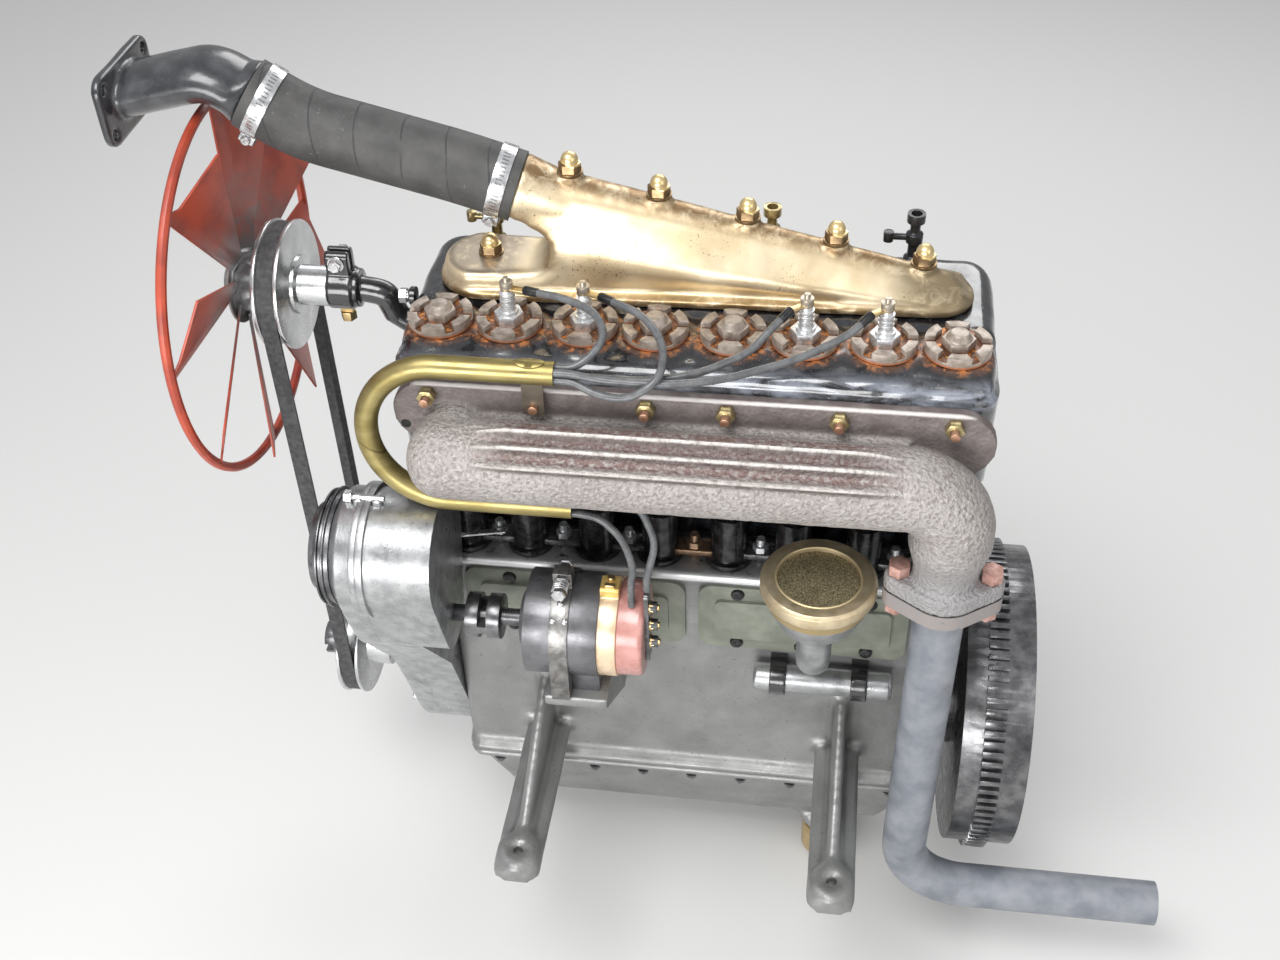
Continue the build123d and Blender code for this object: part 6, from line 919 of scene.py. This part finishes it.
# Saddles under the long bolt, and the black lug behind the block's bolt
saddles = Bits()
for x in (-285, -268):
    saddles.box(facing(x, LONG_BOLT_YZ[0], LONG_BOLT_YZ[1] - 2.8), size=(9, 11, 8), bevel=1.6)
saddles.piece("timing_saddles", "bright_aluminium", slot="bright_aluminium")
lug = Bits()
lug.turned(facing(-252, *BLOCK_BOLT_YZ, FRONT), [(8.5, 0), (8.5, 4.0), (7.4, 5.4)])
lug.piece("block_lug", "bracket_black", slot="bracket_black")

# Sump bolts under its flange
sump_bolts = Bits()
for i, x in enumerate(SUMP_BOLTS_X):
    for y in (-SUMP_BOLT_SIDE, SUMP_BOLT_SIDE):
        sump_bolts.bolt(facing(x, y, SUMP_BOLT_Z, LOW), across_flats=10, height=5.5, start=0.13 * i)
sump_bolts.piece("sump_bolts", "dark_steel", slot="dark_steel")

# Hose clips: black screw housings, and bright screw heads with a bar across
heads, housings = Bits(), Bits()
for centre, ahead, down in CLIPS:
    low = Vector(centre) + Vector(down) * 36
    place = Matrix.Translation(low) @ Matrix((ahead, (0, 1, 0), down)).transposed().to_4x4()
    housings.box(place, size=(14.4, 17.0, 9.4), bevel=1.0)
    for step in (-5.4, -1.8, 1.8, 5.4):
        housings.box(shifted(place, y=step, z=4.4), size=(11.0, 1.5, 2.0), bevel=0.4)
    head = facing(low.x, low.y - 8, low.z, NEAR)
    heads.turned(head, [(4.3, 0), (4.3, 5.0), (3.6, 6.0)], 20)
    heads.box(rotated(shifted(head, z=5.6), 0.5), size=(7.0, 1.4, 1.6), bevel=0.3)
housings.piece("clip_housings", "screw_black", slot="bracket_black")
heads.piece("clip_screw_heads", "bright_steel", slot="clip_zinc")

# Lead tube: the raised oval patch near its upper end
patch = Bits()
patch_x, patch_length, patch_width = -124, 12.5, 6.4
tube_y, tube_z = CONDUIT_TOP_YZ
rings = []
for share, radius in ((1.0, 9.6), (1.0, 11.0), (0.9, 11.4), (0.3, 11.4)):
    ovals = [(share * patch_length * math.cos(a), share * patch_width * math.sin(a)) for a in full_turn(32)]
    rings.append([(patch_x + x, tube_y + y, tube_z + math.sqrt(radius ** 2 - y ** 2)) for x, y in ovals])
patch.rings(Matrix.Identity(4), rings)
patch.piece("lead_tube_patch", "tube_brass", slot="tube_brass")

# Plug leads: dark sleeves where each meets its tab
sleeves = Bits()
tab_length, tab_z = 17, 534
for plug_x, heading, bend in PLUG_LEADS:
    turn = math.radians(heading)
    end = Vector((plug_x + tab_length * math.cos(turn), VALVE_Y + tab_length * math.sin(turn), tab_z))
    back = (Vector(bend) - end).normalized()
    line = [end + back * step for step in (-1.5, 0, 5, 10, 11.5)]
    sleeves.tube(line, radii=[3.5, 4.175, 4.05, 3.925, 3.8], sides=14)
sleeves.piece("lead_sleeves", "screw_black", slot="lead_rubber")

# Magneto: nuts and a spring on its strap's bolt, and three rivets in the strap
fittings = Bits()
strap_bolt = facing(MAGNETO_BOLT_XZ[0], 0, MAGNETO_BOLT_XZ[1], NEAR)
for out, across_flats, height in ((171.2, 13, 5.0), (187.0, 12, 5.0), (147, 12, 6.0)):
    fittings.hexagon(shifted(strap_bolt, z=out), across_flats, height)
fittings.coil(strap_bolt, radius=6.3, wire=1.1, low=177.4, high=186.2, turns=3.5)
for degrees, x in ((26, -108), (44, -113.5), (44, -102.5)):
    lean = -math.radians(degrees)
    outward = (0, math.sin(lean), math.cos(lean))
    rivet = facing(x, *wheel_spot(MAGNETO_YZ, 49.8, lean), outward)
    fittings.turned(rivet, [(2.9, 0), (2.7, 1.2), (1.6, 2.1), (0.3, 2.3)], 16)
fittings.piece("magneto_fittings", "bright_steel", slot="plug_steel")

# Magneto: three brass posts with nuts at its rear, and a plate and a screw on top of its ring
posts = Bits()
for step in (-22, 0, 22):
    place = facing(-29, MAGNETO_YZ[0] - 14, MAGNETO_YZ[1] + 20 + step, REAR)
    posts.hexagon(place, across_flats=10, height=4.5)
    posts.turned(place, [(6.2, 0), (6.2, 1.4)], 20)
    posts.turned(place, [(3.0, 0), (3.0, 8.5), (2.4, 9.2)], 16)
posts.box(facing(-65.5, MAGNETO_YZ[0] - 5, MAGNETO_YZ[1] + 56), size=(9, 5, 3.0))
posts.turned(facing(-65.5, MAGNETO_YZ[0] + 4, MAGNETO_YZ[1] + 55), [(3.4, 0), (3.4, 2.4), (2.6, 3.0)], 16)
posts.piece("magneto_posts", "brass", slot="brass")

# Breather: the bright bead round the gauze
bead = Bits()
rim_radius, rim_z = 37.3, 312.6
rim = [(BREATHER_XY[0] + rim_radius * math.cos(a), BREATHER_XY[1] + rim_radius * math.sin(a), rim_z)
       for a in (*full_turn(72), 2 * math.pi)]
bead.tube(rim, radii=1.1)
bead.piece("breather_bead", "breather_brass", slot="brass")

# A flat steel bar that lies on the first yoke's nut, beside the first tappet guide
bar = Bits()
bar.box(rotated(Matrix.Translation((-202, -88.4, 262.7)), math.atan2(10.5, 44)), size=(45, 6.2, 2.4))
bar.piece("tappet_bar", "bright_steel", slot="spring_steel")


# The photograph's camera, as fitted to the valve caps, the fan and the pulley
CAMERA_PLACE = (109.2095, -1087.426, 1221.361)
AZIMUTH, ELEVATION, ROLL = (math.radians(a) for a in (8.94086, 40.98079, -1.910207))
FOCAL_LENGTH_PX, PHOTO_WIDTH_PX, SENSOR_WIDTH = 1482.188, 1280, 36
forward = Vector((-math.sin(AZIMUTH) * math.cos(ELEVATION), math.cos(AZIMUTH) * math.cos(ELEVATION),
                  -math.sin(ELEVATION)))
level = Vector((math.cos(AZIMUTH), math.sin(AZIMUTH), 0))
upward = level.cross(forward)
right = math.cos(ROLL) * level + math.sin(ROLL) * upward
top = -math.sin(ROLL) * level + math.cos(ROLL) * upward
camera_data = bpy.data.cameras.new("camera")
camera_data.sensor_width = SENSOR_WIDTH
camera_data.lens = SENSOR_WIDTH * FOCAL_LENGTH_PX / PHOTO_WIDTH_PX
camera_data.clip_start = 0.01
camera = added("camera", camera_data)
rotation = Matrix((right, top, -forward)).transposed().to_4x4()
camera.matrix_world = Matrix.Translation(Vector(CAMERA_PLACE) * MM) @ rotation
bpy.context.scene.camera = camera

# A pale floor just under the engine
FLOOR_SIDE, FLOOR_GAP = 18, 0.0005
floor_mesh = bpy.data.meshes.new("floor")
floor_z = frame_bounds[0][2] - FLOOR_GAP
floor_mesh.from_pydata([(x * FLOOR_SIDE / 2, y * FLOOR_SIDE / 2, floor_z)
                        for x, y in ((-1, -1), (1, -1), (1, 1), (-1, 1))], [], [(0, 1, 2, 3)])
floor = added("floor", floor_mesh)
floor_mesh.materials.append(Graph("floor_pale", (0.62, 0.62, 0.61), roughness=0.9).material)

# A sky that is grey at the horizon and paler overhead
world = bpy.data.worlds.new("sky")
bpy.context.scene.world = world
world.use_nodes = True
tree = world.node_tree
background = tree.nodes["Background"]
direction = tree.nodes.new("ShaderNodeTexCoord")
parts = tree.nodes.new("ShaderNodeSeparateXYZ")
ramp = tree.nodes.new("ShaderNodeValToRGB")
tree.links.new(direction.outputs["Generated"], parts.inputs[0])
tree.links.new(parts.outputs["Z"], ramp.inputs["Fac"])
tree.links.new(ramp.outputs["Color"], background.inputs["Color"])
stops = ((0.0, (0.50, 0.50, 0.50, 1)), (0.8, (0.95, 0.96, 0.98, 1)))
for element, (position, colour) in zip(ramp.color_ramp.elements, stops):
    element.position = position
    element.color = colour
background.inputs["Strength"].default_value = 0.62


def lamp(name, spot, aim, size, power):
    """A rectangular lamp that points at a place, in metres and watts."""
    data = bpy.data.lights.new(name, "AREA")
    data.shape = "RECTANGLE"
    data.size, data.size_y = size
    data.energy = power
    obj = added(name, data)
    obj.location = spot
    obj.rotation_euler = (Vector(aim) - Vector(spot)).to_track_quat("-Z", "Y").to_euler()


lamp("key", spot=(-0.6, -1.1, 2.6), aim=(0, 0, 0.3), size=(1.5, 1.1), power=52)
lamp("fill", spot=(1.8, -1.4, 1.4), aim=(0, 0, 0.2), size=(1.4, 1.4), power=10)
lamp("low", spot=(-0.5, -2.0, 0.55), aim=(0, -0.1, 0.28), size=(1.6, 0.7), power=34)
lamp("back", spot=(0.2, 1.9, 1.7), aim=(0, 0, 0.3), size=(1.8, 0.9), power=22)

bpy.context.scene.view_settings.view_transform = "Standard"
